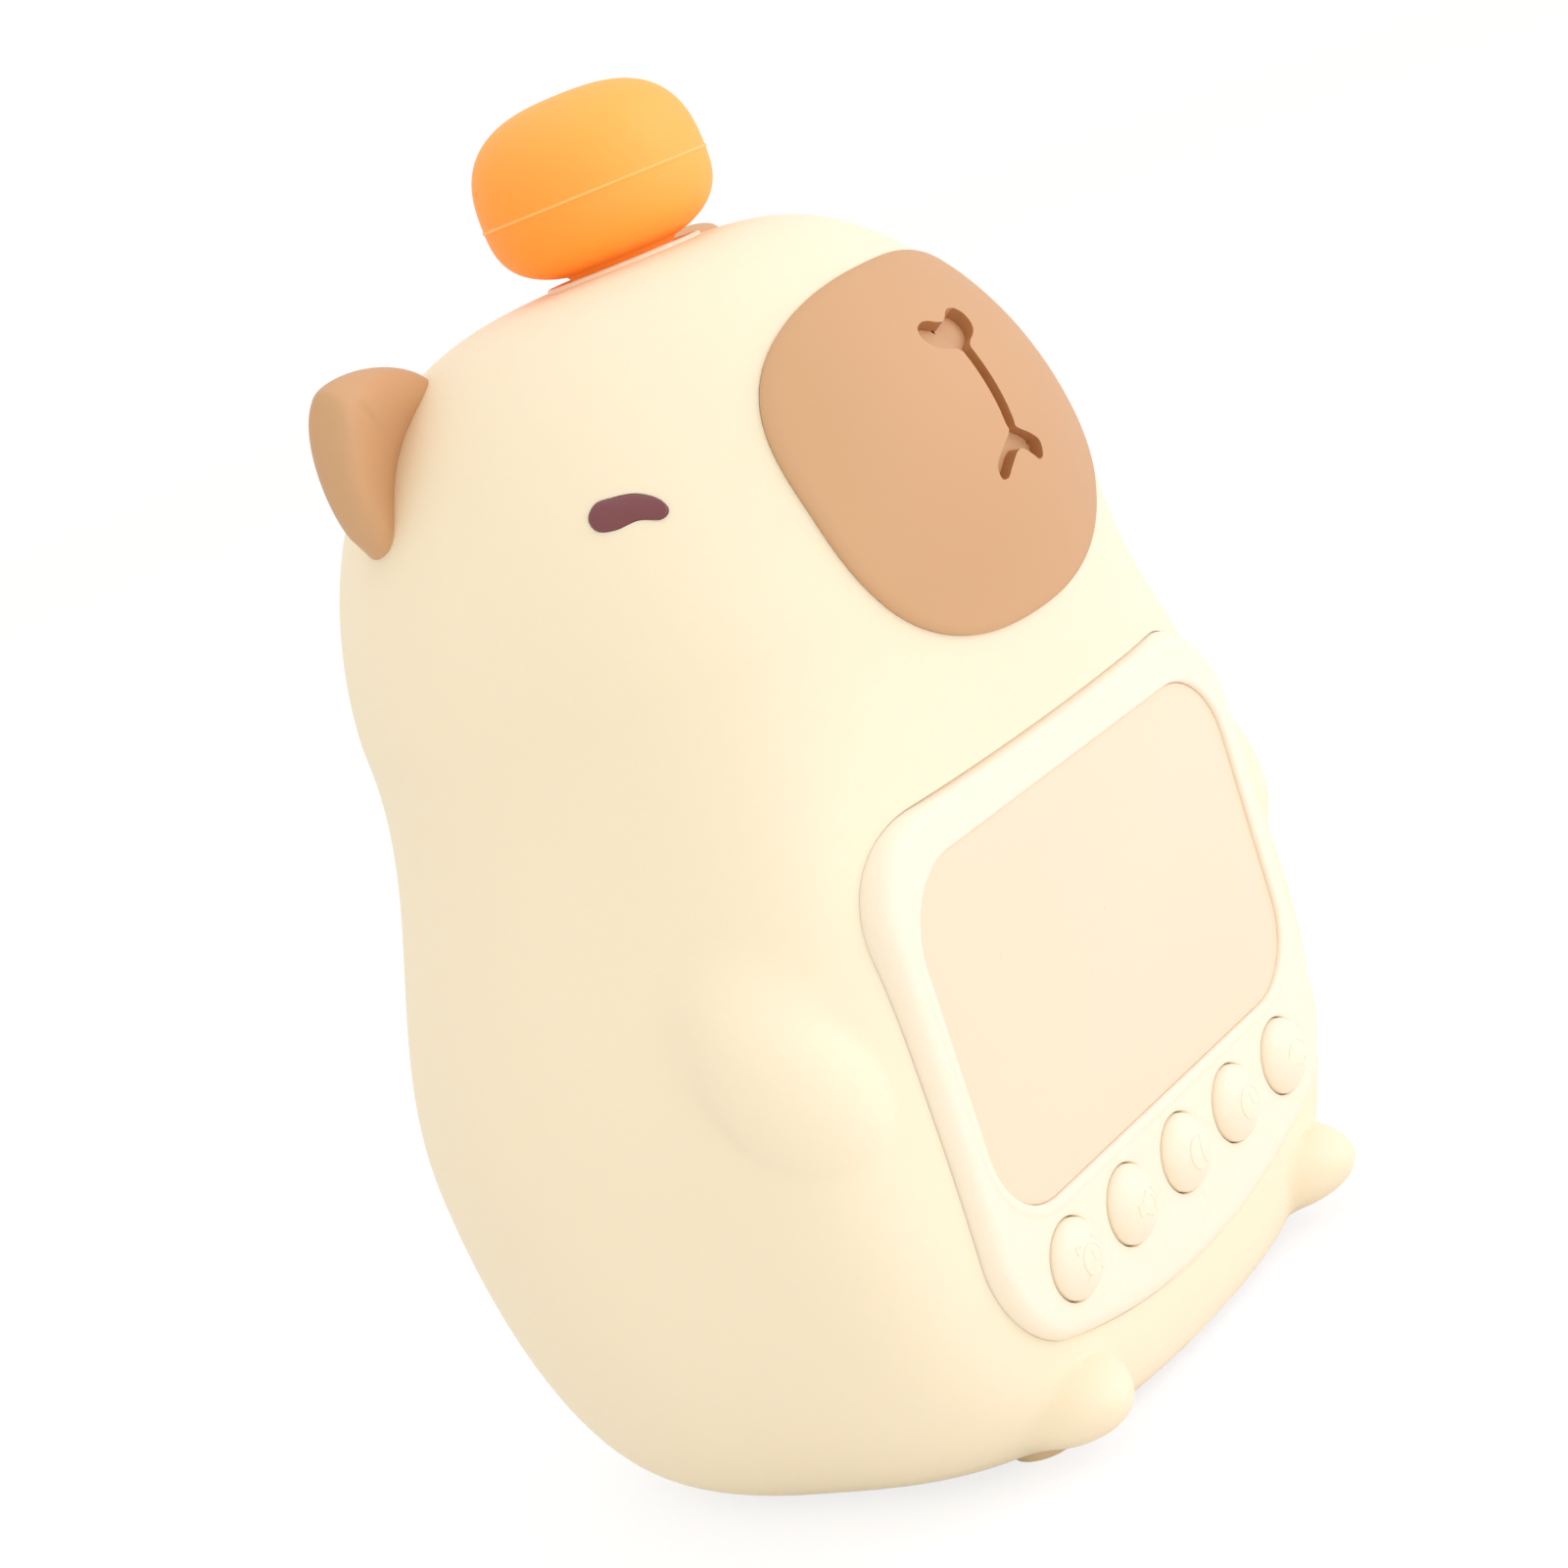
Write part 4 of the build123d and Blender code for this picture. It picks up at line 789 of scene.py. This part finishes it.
def icon_paths(name):
    """Lines of a key's icon as lists of points in millimetres, plain signs that name no maker."""
    def arc(radius, start, end, cx=0.0, cy=0.0, count=24):
        turns = np.radians(np.linspace(start, end, count))
        return [(cx + radius * math.cos(t), cy + radius * math.sin(t)) for t in turns]

    if name == "alarm":
        return [
            arc(1.75, 0, 360), [(0, 1.0), (0, 0), (0.75, -0.45)],
            arc(0.55, 60, 210, -1.45, 1.65, 10), arc(0.55, -30, 120, 1.45, 1.65, 10),
            [(-1.25, -1.45), (-1.7, -2.05)], [(1.25, -1.45), (1.7, -2.05)],
        ]
    if name == "sound":
        box = [(-1.1, -0.6), (-1.9, -0.6), (-1.9, 0.6), (-1.1, 0.6)]
        horn = box[1:] + [(0.0, 1.6), (0.0, -1.6)] + box[:2]
        return [horn, arc(1.0, -48, 48, 0.1), arc(1.9, -48, 48, 0.1)]
    if name == "sleep":
        return [arc(2.0, 60, 300) + arc(1.95, 242.5, 117.5, 1.9)]
    if name == "clock":
        return [arc(2.0, 0, 360), [(0, 1.25), (0, 0), (0.85, -0.5)]]
    dots = [[(x, y), (x + 0.05, y)] for x, y in ((-0.9, -0.9), (0.0, -1.3), (0.9, -0.9))]
    return [arc(2.1, 20, 160, 0, -0.2)] + dots


def sweep_tree(radius):
    """Geometry Nodes: a round bead along a curve, with an input for its radius."""
    tree = bpy.data.node_groups.new("icon_bead", "GeometryNodeTree")
    tree.interface.new_socket("Geometry", in_out="INPUT", socket_type="NodeSocketGeometry")
    size = tree.interface.new_socket("Bead radius", in_out="INPUT", socket_type="NodeSocketFloat")
    size.default_value = radius
    tree.interface.new_socket("Geometry", in_out="OUTPUT", socket_type="NodeSocketGeometry")
    paint = tree.interface.new_socket("Finish", in_out="INPUT", socket_type="NodeSocketMaterial")
    start, end = add(tree, "NodeGroupInput"), add(tree, "NodeGroupOutput")
    to_curve = add(tree, "GeometryNodeMeshToCurve")
    ring = add(tree, "GeometryNodeCurvePrimitiveCircle", {"Resolution": 8})
    sweep = add(tree, "GeometryNodeCurveToMesh", {"Fill Caps": True})
    real = add(tree, "GeometryNodeRealizeInstances")
    material = add(tree, "GeometryNodeSetMaterial")
    wire(
        tree,
        (start, "Geometry", to_curve, "Mesh"),
        (start, "Bead radius", ring, "Radius"),
        (to_curve, "Curve", sweep, "Curve"),
        (ring, "Curve", sweep, "Profile Curve"),
        (sweep, "Mesh", real, "Geometry"),
        (real, "Geometry", material, "Geometry"),
        (start, "Finish", material, "Material"),
        (material, "Geometry", end, "Geometry"),
    )
    return tree, size.identifier, paint.identifier


def key_icon(name, x, tree, finish_material):
    """Raised line icon on a key's dome."""
    group, size_input, paint_input = tree
    points, edges = [], []
    for path in icon_paths(name):
        start = len(points)
        for a, b in path:
            height = float(dome_height(math.hypot(a, b))) - ICON_SINK
            points.append(on_panel(x + a, b, height))
        edges += [(start + i, start + i + 1) for i in range(len(path) - 1)]
    mesh = bpy.data.meshes.new(name)
    mesh.from_pydata((np.array(points) * MM).tolist(), edges, [])
    icon = into_scene("icon_" + name, mesh)
    sweep = icon.modifiers.new("bead", "NODES")
    sweep.node_group = group
    sweep[size_input] = ICON_BEAD * MM
    sweep[paint_input] = finish_material
    return bake(icon)


def screen_window():
    """Window with a rounded rim."""
    face, edge = -LENS_SINK, LENS_EDGE
    rings = [panel_ring(screen_shape(LENS_GAP), face - LENS_THICK + HAIR)]
    for s, c in quarter(0, 30, 60, 90):
        rings.append(panel_ring(screen_shape(LENS_GAP + edge * (1 - c)), face - edge + edge * s))
    return loft("screen_window", rings)


def ear_axes():
    """Root of the right ear, the way to its tip, across its blade and out of its back."""
    root = skin_point(EAR_ANGLE, EAR_Z, -EAR_SINK)
    lean, slope = math.radians(EAR_LEAN), math.radians(EAR_SLOPE)
    axis = np.array([math.cos(lean), -EAR_FORWARD, math.sin(lean)])
    axis /= np.linalg.norm(axis)
    across = np.array([-math.sin(slope), 0.0, math.cos(slope)])
    across -= axis * (across @ axis)
    across /= np.linalg.norm(across)
    return root, axis, across, np.cross(across, axis)


def ear_field(x, y, z):
    """A cupped ear: rounded blade with a shallow hollow in its front."""
    root, axis, across, back = ear_axes()
    place = np.stack([x - root[0], y - root[1], z - root[2]], -1)
    t = place @ axis / EAR_LENGTH
    u, v = place @ across, place @ back
    up = np.clip(t, 0, 0.998)
    half = EAR_HALF_WIDTH * (1 - up ** EAR_TAPER) ** EAR_TIP_ROUND
    thick = EAR_HALF_THICK * (1 - up ** EAR_THICK_TAPER) ** 0.5
    blunt = np.where(u < 0, EAR_BLUNT, 2.0)
    blade = ((np.abs(u / half) ** blunt + (v / thick) ** 2) ** (1 / blunt) - 1) * thick
    blade = np.maximum(blade, (t - 1) * EAR_LENGTH)
    blade = np.maximum(blade, (EAR_ROOT - t) * EAR_LENGTH)
    aside, ahead, above = EAR_HOLLOW_PLACE
    hollow = ellipsoid(u - aside, v + EAR_HALF_THICK + ahead, t * EAR_LENGTH - above, EAR_HOLLOW)
    return -melt(-blade, hollow, EAR_RIM)


def ear():
    root, (back, ahead) = ear_axes()[0], EAR_REACH
    return net_piece("ear_shape", ear_field, root - back, root + ahead, EAR_CELL)


def fruit_profile(inset, count=48):
    points = []
    for i in range(count + 1):
        turn = math.pi / 2 - math.pi * i / count
        c, s = math.cos(turn), math.sin(turn)
        tall = (FRUIT_UPPER if s > 0 else FRUIT_LOWER) - inset
        radius = (FRUIT_RADIUS - inset) * abs(c) ** (2 / FRUIT_FULLNESS)
        points.append((radius, FRUIT_Z + tall * math.copysign(abs(s) ** (2 / FRUIT_FULLNESS), s)))
    return points


def fruit_cap():
    """Soft fruit with a fine moulding line round its equator."""
    def ridge(rise):
        return FRUIT_SEAM * math.exp(-(rise / SEAM_WIDTH) ** 2)

    opening, floor = STEM_RADIUS + CAP_GAP, FRUIT_Z - FRUIT_LOWER
    outer = [(radius + ridge(z - FRUIT_Z), z) for radius, z in fruit_profile(0.0, 72)]
    for d in (0.4, 0.25, 0.15, 0.08, -0.08, -0.15, -0.25, -0.4):
        outer.append((FRUIT_RADIUS + ridge(d), FRUIT_Z + d))
    outer = [p for p in sorted(outer, key=lambda p: -p[1]) if p[0] > opening or p[1] > FRUIT_Z]
    inner = [p for p in fruit_profile(FRUIT_WALL, 24) if p[0] > opening or p[1] > FRUIT_Z][::-1]
    line = outer + [(opening, floor + HAIR), (opening, floor + FRUIT_WALL)] + inner
    return revolve("fruit_shape", line, (0, FRUIT_Y, 0), 128)


# ======================================== finishes
def colour(red, green, blue):
    """Linear colour from an 8-bit one."""
    return tuple(
        (c / 255 / 12.92 if c <= 10 else ((c / 255 + 0.055) / 1.055) ** 2.4) for c in (red, green, blue)
    ) + (1.0,)


def finish(name, tint, rough, shade=0.93, patch=18.0, grain=900.0, bump=0.04, metal=0.0, **sockets):
    """Moulded or machined surface: faint cloudy tint, fine grain in height and roughness."""
    material = bpy.data.materials.new(name)
    material.use_nodes = True
    tree = material.node_tree
    shader = tree.nodes["Principled BSDF"]
    place = add(tree, "ShaderNodeTexCoord")
    cloud = add(tree, "ShaderNodeTexNoise", {"Scale": patch, "Detail": 3.0})
    fine = add(tree, "ShaderNodeTexNoise", {"Scale": grain, "Detail": 2.0})
    full = colour(*tint)
    shaded = tuple(c * shade for c in full[:3]) + (1,)
    mix = add(tree, "ShaderNodeMix", {"A": shaded, "B": full}, data_type="RGBA")
    spread = span(tree, CLOUD_SPAN)
    gloss = span(tree, target=(rough - ROUGH_SPREAD, rough + ROUGH_SPREAD))
    height = add(tree, "ShaderNodeBump", {"Strength": bump, "Distance": GRAIN_HEIGHT})
    wire(
        tree,
        (place, "Object", cloud, "Vector"),
        (place, "Object", fine, "Vector"),
        (cloud, "Fac", spread, "Value"),
        (spread, "Result", mix, "Factor"),
        (mix, "Result", shader, "Base Color"),
        (fine, "Fac", gloss, "Value"),
        (gloss, "Result", shader, "Roughness"),
        (fine, "Fac", height, "Height"),
        (height, "Normal", shader, "Normal"),
    )
    shader.inputs["Metallic"].default_value = metal
    for socket, value in sockets.items():
        shader.inputs[socket.replace("_", " ")].default_value = value
    return material


def paint_fruit_light(material, tint):
    """Painted light on the fruit: a deeper orange on the side turned from the lamps (painted shade), a
    lighter band along its moulding line, and a painted glow from emission, faint all over and stronger
    low down.
    """
    tree = material.node_tree
    shader = tree.nodes["Principled BSDF"]
    own_tint = shader.inputs["Base Color"].links[0].from_socket
    place = add(tree, "ShaderNodeTexCoord")
    along = add(tree, "ShaderNodeVectorMath", {1: LIT_SIDE_WAY}, operation="DOT_PRODUCT")
    spread = span(tree, LIT_SIDE_SPAN, interpolation_type="SMOOTHSTEP")
    mix = add(tree, "ShaderNodeMix", {"A": colour(*tint)}, data_type="RGBA")
    split = add(tree, "ShaderNodeSeparateXYZ")
    seam_level = add(tree, "ShaderNodeMath", {1: FRUIT_Z * MM}, operation="SUBTRACT")
    seam_off = add(tree, "ShaderNodeMath", operation="ABSOLUTE")
    seam = span(tree, SEAM_SPAN, (SEAM_SHARE, 0.0))
    line = add(tree, "ShaderNodeMix", {"B": colour(*SEAM_TINT)}, data_type="RGBA")
    glow = span(tree, PAINTED_GLOW_SPAN, PAINTED_GLOW_STRENGTH)
    tree.links.new(own_tint, mix.inputs["B"])
    wire(
        tree,
        (place, "Object", along, 0),
        (along, "Value", spread, "Value"),
        (spread, "Result", mix, "Factor"),
        (place, "Object", split, "Vector"),
        (split, "Z", seam_level, 0),
        (seam_level, 0, seam_off, 0),
        (seam_off, 0, seam, "Value"),
        (seam, "Result", line, "Factor"),
        (mix, "Result", line, "A"),
        (line, "Result", shader, "Base Color"),
        (split, "Z", glow, "Value"),
        (glow, "Result", shader, "Emission Strength"),
    )
    shader.inputs["Emission Color"].default_value = PAINTED_GLOW_TINT


CLOUD_SPAN, ROUGH_SPREAD, GRAIN_HEIGHT = (0.3, 0.7), 0.05, 0.0004
# painted light: the fruit's orange is deeper on the side turned from the lamps and lighter towards them
LIT_SIDE_WAY, LIT_SIDE_SPAN = (0.45, -0.5, 0.74), (0.108, 0.130)
# painted glow: emission over the whole fruit, stronger low down, standing in for light coming through
# the silicone; the fruit is no lamp
PAINTED_GLOW_SPAN, PAINTED_GLOW_STRENGTH, PAINTED_GLOW_TINT = (0.1450, 0.1505), (0.22, 0.1), (1.0, 0.2, 0.01, 1.0)
SEAM_SPAN, SEAM_SHARE, SEAM_TINT = (0.00005, 0.00018), 0.5, (255, 222, 150)
MATT = {"Specular_IOR_Level": 0.35}
SOFT = {
    "Specular_IOR_Level": 0.35,
    "Subsurface_Weight": 0.25,
    "Subsurface_Radius": (1.0, 0.6, 0.35),
    "Subsurface_Scale": 0.0015,
}
# slot: name, 8-bit colour, roughness, share of the colour that cloudy patches keep, other settings
FINISH_ROWS = {
    "silicone_cream": ("cream silicone", (251, 235, 203), 0.6, 0.985, SOFT),
    "silicone_tan": ("tan silicone", (210, 165, 120), 0.6, 0.97, MATT),
    # painted shade: a darker tan for the steep walls of the nose, groove and mouth
    "silicone_tan_painted_shade": ("tan silicone with painted shade", (184, 128, 78), 0.6, 0.97, MATT),
    # painted shade: a darker key colour on the raised signs, standing in for their shading
    "icon_painted_shade": ("key plastic of the signs", (240, 220, 176), 0.5, 0.99),
    "silicone_orange": ("orange silicone", (255, 180, 84), 0.55, 0.97, MATT),
    "panel_plastic": ("panel plastic", (251, 237, 212), 0.45, 0.99, SOFT),
    "key_plastic": ("key plastic", (249, 236, 209), 0.45, 0.985),
    "lens_plastic": ("window plastic", (249, 221, 189), 0.3, 0.99, {"grain": 300, "bump": 0.01}),
    "eye_plastic": ("eye plastic", (122, 64, 66), 0.25, 0.9),
    "display_case": ("display case", (60, 60, 64), 0.5, 0.93),
    "circuit_board": ("green circuit board", (36, 110, 66), 0.35, 0.8, {"patch": 300}),
    "screw_steel": ("zinc plated steel", (190, 190, 194), 0.3, 0.9, {"metal": 1.0}),
    "switch_plastic": ("switch plastic", (48, 48, 50), 0.5, 0.93),
    "housing_plastic": ("housing plastic", (238, 238, 232), 0.5, 0.98),
    "base_plastic": ("base plastic", (250, 238, 212), 0.5, 0.98),
    "foot_rubber": ("foot rubber", (250, 222, 178), 0.7, 0.96),
    "foam": ("open foam", (60, 60, 60), 0.9, 0.8, {"grain": 2500, "bump": 0.3}),
    "speaker_steel": ("painted steel", (70, 70, 72), 0.4, 0.93, {"metal": 0.6}),
    "cone_paper": ("pressed paper", (50, 50, 50), 0.85, 0.8, {"grain": 1800, "bump": 0.2}),
    "magnet_ferrite": ("ferrite", (62, 62, 66), 0.6, 0.85),
    "cell_wrap": ("shrink sleeve", (56, 120, 176), 0.3, 0.93),
    "socket_steel": ("nickel plate", (214, 214, 216), 0.22, 0.93, {"metal": 1.0}),
    "led_resin": ("phosphor resin", (252, 232, 150), 0.25, 0.93),
    "core_plastic": ("core plastic", (250, 234, 206), 0.5, 0.98),
}
FINISHES = {
    slot: finish(name, tint, rough, shade, **dict(*settings))
    for slot, (name, tint, rough, shade, *settings) in FINISH_ROWS.items()
}
# painted shade on the fruit: this deeper orange goes on its side turned from the lamps
paint_fruit_light(FINISHES["silicone_orange"], (255, 158, 54))
slot_of = {row["node"]: row["material_slot"] for row in frame["record"]["subparts"]}
for node_name, node in frame["nodes"].items():
    node.data.materials.clear()
    node.data.materials.append(FINISHES[slot_of[node_name]])


def dress(piece, name, body, node, angle=35.0):
    """Name a finished piece, give it the node's finish, and let it ride and stand for the node."""
    piece.name = piece.data.name = name
    smooth(piece, angle)
    piece.data.materials.clear()
    piece.data.materials.append(FINISHES[slot_of[node]])
    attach(piece, body)
    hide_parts(node)
    return piece


# ======================================== camera
CAMERA_PLACE = np.array([-316.76, -270.37, 153.93])
CAMERA_TURNS = -49.937, 10.346, -22.069    # azimuth, elevation and roll in degrees
FOCAL_PIXELS, IMAGE_PIXELS, SENSOR = 3500.0, 1601.0, 36.0
NEAR, FAR = 0.01, 20.0


def camera():
    """Long lens from the clock's front left, rolled so that the clock stands at a slant."""
    az, el, roll = (math.radians(turn) for turn in CAMERA_TURNS)
    back = Vector((math.sin(az) * math.cos(el), -math.cos(az) * math.cos(el), math.sin(el)))
    right = (-back).cross(Vector((0, 0, 1))).normalized()
    up = right.cross(-back)
    side = math.cos(roll) * right + math.sin(roll) * up
    top = -math.sin(roll) * right + math.cos(roll) * up
    made = bpy.data.cameras.new("camera")
    made.sensor_width = SENSOR
    made.lens = FOCAL_PIXELS / IMAGE_PIXELS * SENSOR
    made.clip_start, made.clip_end = NEAR, FAR
    placed = into_scene("camera", made)
    turn = Matrix((side, top, back)).transposed().to_4x4()
    placed.matrix_world = Matrix.Translation(Vector(CAMERA_PLACE * MM)) @ turn
    bpy.context.scene.camera = placed


camera()

# ======================================== putting it together
BODY = "clock_body"
dress(silicone_skin(), "skin", BODY, "silicone_skin")
dress(face_panel(), "panel", BODY, "front_panel")
dress(screen_window(), "window", BODY, "screen_lens")
muzzle = muzzle_body("muzzle", PAD_PROUD, PAD_SINK - HAIR, edge_round=PAD_ROUND)
shade_walls(dress(cut(muzzle, nose_cutter()), "muzzle", BODY, "muzzle_pad", 40.0))
right_eye = eye_plug("eye", 0.0, EYE_PROUD, EYE_THICK - HAIR)
left_eye = mirrored(right_eye, "left_eye")
dress(right_eye, "sleepy_eye_right", BODY, "eye_right")
dress(left_eye, "sleepy_eye_left", BODY, "eye_left")
right_ear = ear()
left_ear = mirrored(right_ear, "left_ear")
dress(right_ear, "cupped_ear_right", BODY, "ear_right", 60.0)
dress(left_ear, "cupped_ear_left", BODY, "ear_left", 60.0)
dress(fruit_cap(), "fruit", "fruit_button", "fruit_cap")
right_pad = front_pad()
left_pad = mirrored(right_pad, "left_pad")
dress(collar(), "collar", BODY, "head_collar")
for pad, name in ((right_pad, "front_pad_right"), (left_pad, "front_pad_left")):
    pad.name = pad.data.name = name
    smooth(pad)
    pad.data.materials.append(FINISHES["foot_rubber"])
    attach(pad, BODY)
bead = sweep_tree(ICON_BEAD * MM)
for key, place in zip(KEY_NAMES, key_places()):
    cap = key_cap("key_" + key, place)
    icon = key_icon(key, place, bead, FINISHES["key_plastic"])
    # the raised signs get the darker finish, which is painted shade
    for face in icon.data.polygons:
        face.material_index = 1
    whole = dress(joined("key_" + key, cap, icon), "key_cap_" + key, "key_" + key, "button_" + key)
    whole.data.materials.append(FINISHES["icon_painted_shade"])


# ======================================== floor, light and background
FLOOR_SIZE, FLOOR_ROUGH = 6.0, 0.95
FLOOR_GREY = 0.92         # what the floor gives back
FLOOR_SHOWN = 0.72        # share of plain white in what the camera sees of it
FLOOR_WHITE = 1.085
SKY_STRENGTH, SKY_TINT = 0.87, (1.0, 0.985, 0.945)
LAMP_TARGET = Vector((0, 0, 0.08))
LAMPS = (                 # name, place in metres, size, power, tint
    ("key_light", (0.6, -1.0, 0.55), 0.9, 4.7, (0.98, 0.91, 1.26)),
    ("top_light", (-0.2, 0.1, 1.3), 1.2, 2.4, (1.0, 0.91, 1.12)),
    ("low_light", (-0.4, -1.0, 0.24), 0.4, 1.1, (1.0, 1.0, 1.0)),
)


def only_lights(tree, lit, shown):
    """Mix a shader with what the camera, mirrors and clear plastic see instead of it."""
    path = add(tree, "ShaderNodeLightPath")
    camera_or_mirror = add(tree, "ShaderNodeMath", operation="MAXIMUM")
    or_through = add(tree, "ShaderNodeMath", operation="MAXIMUM")
    mix = add(tree, "ShaderNodeMixShader")
    wire(
        tree,
        (path, "Is Camera Ray", camera_or_mirror, 0),
        (path, "Is Glossy Ray", camera_or_mirror, 1),
        (camera_or_mirror, 0, or_through, 0),
        (path, "Is Transmission Ray", or_through, 1),
        (or_through, 0, mix, 0),
        (lit, 0, mix, 1),
        (shown, 0, mix, 2),
    )
    return mix


def floor():
    """Pale floor that reads white to the camera and keeps the clock's soft shadow."""
    bpy.ops.mesh.primitive_plane_add(size=FLOOR_SIZE, location=(0, 0, 0))
    sheet = bpy.context.active_object
    sheet.name = "floor"
    material = bpy.data.materials.new("white floor")
    material.use_nodes = True
    tree = material.node_tree
    plain = tree.nodes["Principled BSDF"]
    plain.inputs["Base Color"].default_value = (FLOOR_GREY, FLOOR_GREY, FLOOR_GREY, 1)
    plain.inputs["Roughness"].default_value = FLOOR_ROUGH
    plain.inputs["Specular IOR Level"].default_value = 0.0
    bright = add(tree, "ShaderNodeEmission", {"Strength": FLOOR_WHITE})
    lifted = add(tree, "ShaderNodeMixShader", {0: FLOOR_SHOWN})
    wire(tree, (plain, 0, lifted, 1), (bright, 0, lifted, 2))
    shown = only_lights(tree, plain, lifted)
    wire(tree, (shown, 0, tree.nodes["Material Output"], "Surface"))
    sheet.data.materials.append(material)


def sky():
    """Even, slightly warm light from all round, and plain white behind the clock."""
    world = bpy.data.worlds.new("studio")
    bpy.context.scene.world = world
    world.use_nodes = True
    tree = world.node_tree
    soft = tree.nodes["Background"]
    soft.inputs["Color"].default_value = SKY_TINT + (1,)
    soft.inputs["Strength"].default_value = SKY_STRENGTH
    white = add(tree, "ShaderNodeBackground", {"Color": (1, 1, 1, 1), "Strength": 1.0})
    shown = only_lights(tree, soft, white)
    wire(tree, (shown, 0, tree.nodes["World Output"], "Surface"))


def lamps():
    for name, place, size, power, tint in LAMPS:
        lamp = bpy.data.lights.new(name, "AREA")
        lamp.size, lamp.energy, lamp.color = size, power, tint
        placed = into_scene(name, lamp)
        placed.location = place
        placed.rotation_mode = "QUATERNION"
        placed.rotation_quaternion = (LAMP_TARGET - Vector(place)).to_track_quat("-Z", "Y")


floor()
sky()
lamps()
bpy.context.scene.view_settings.view_transform = "Standard"
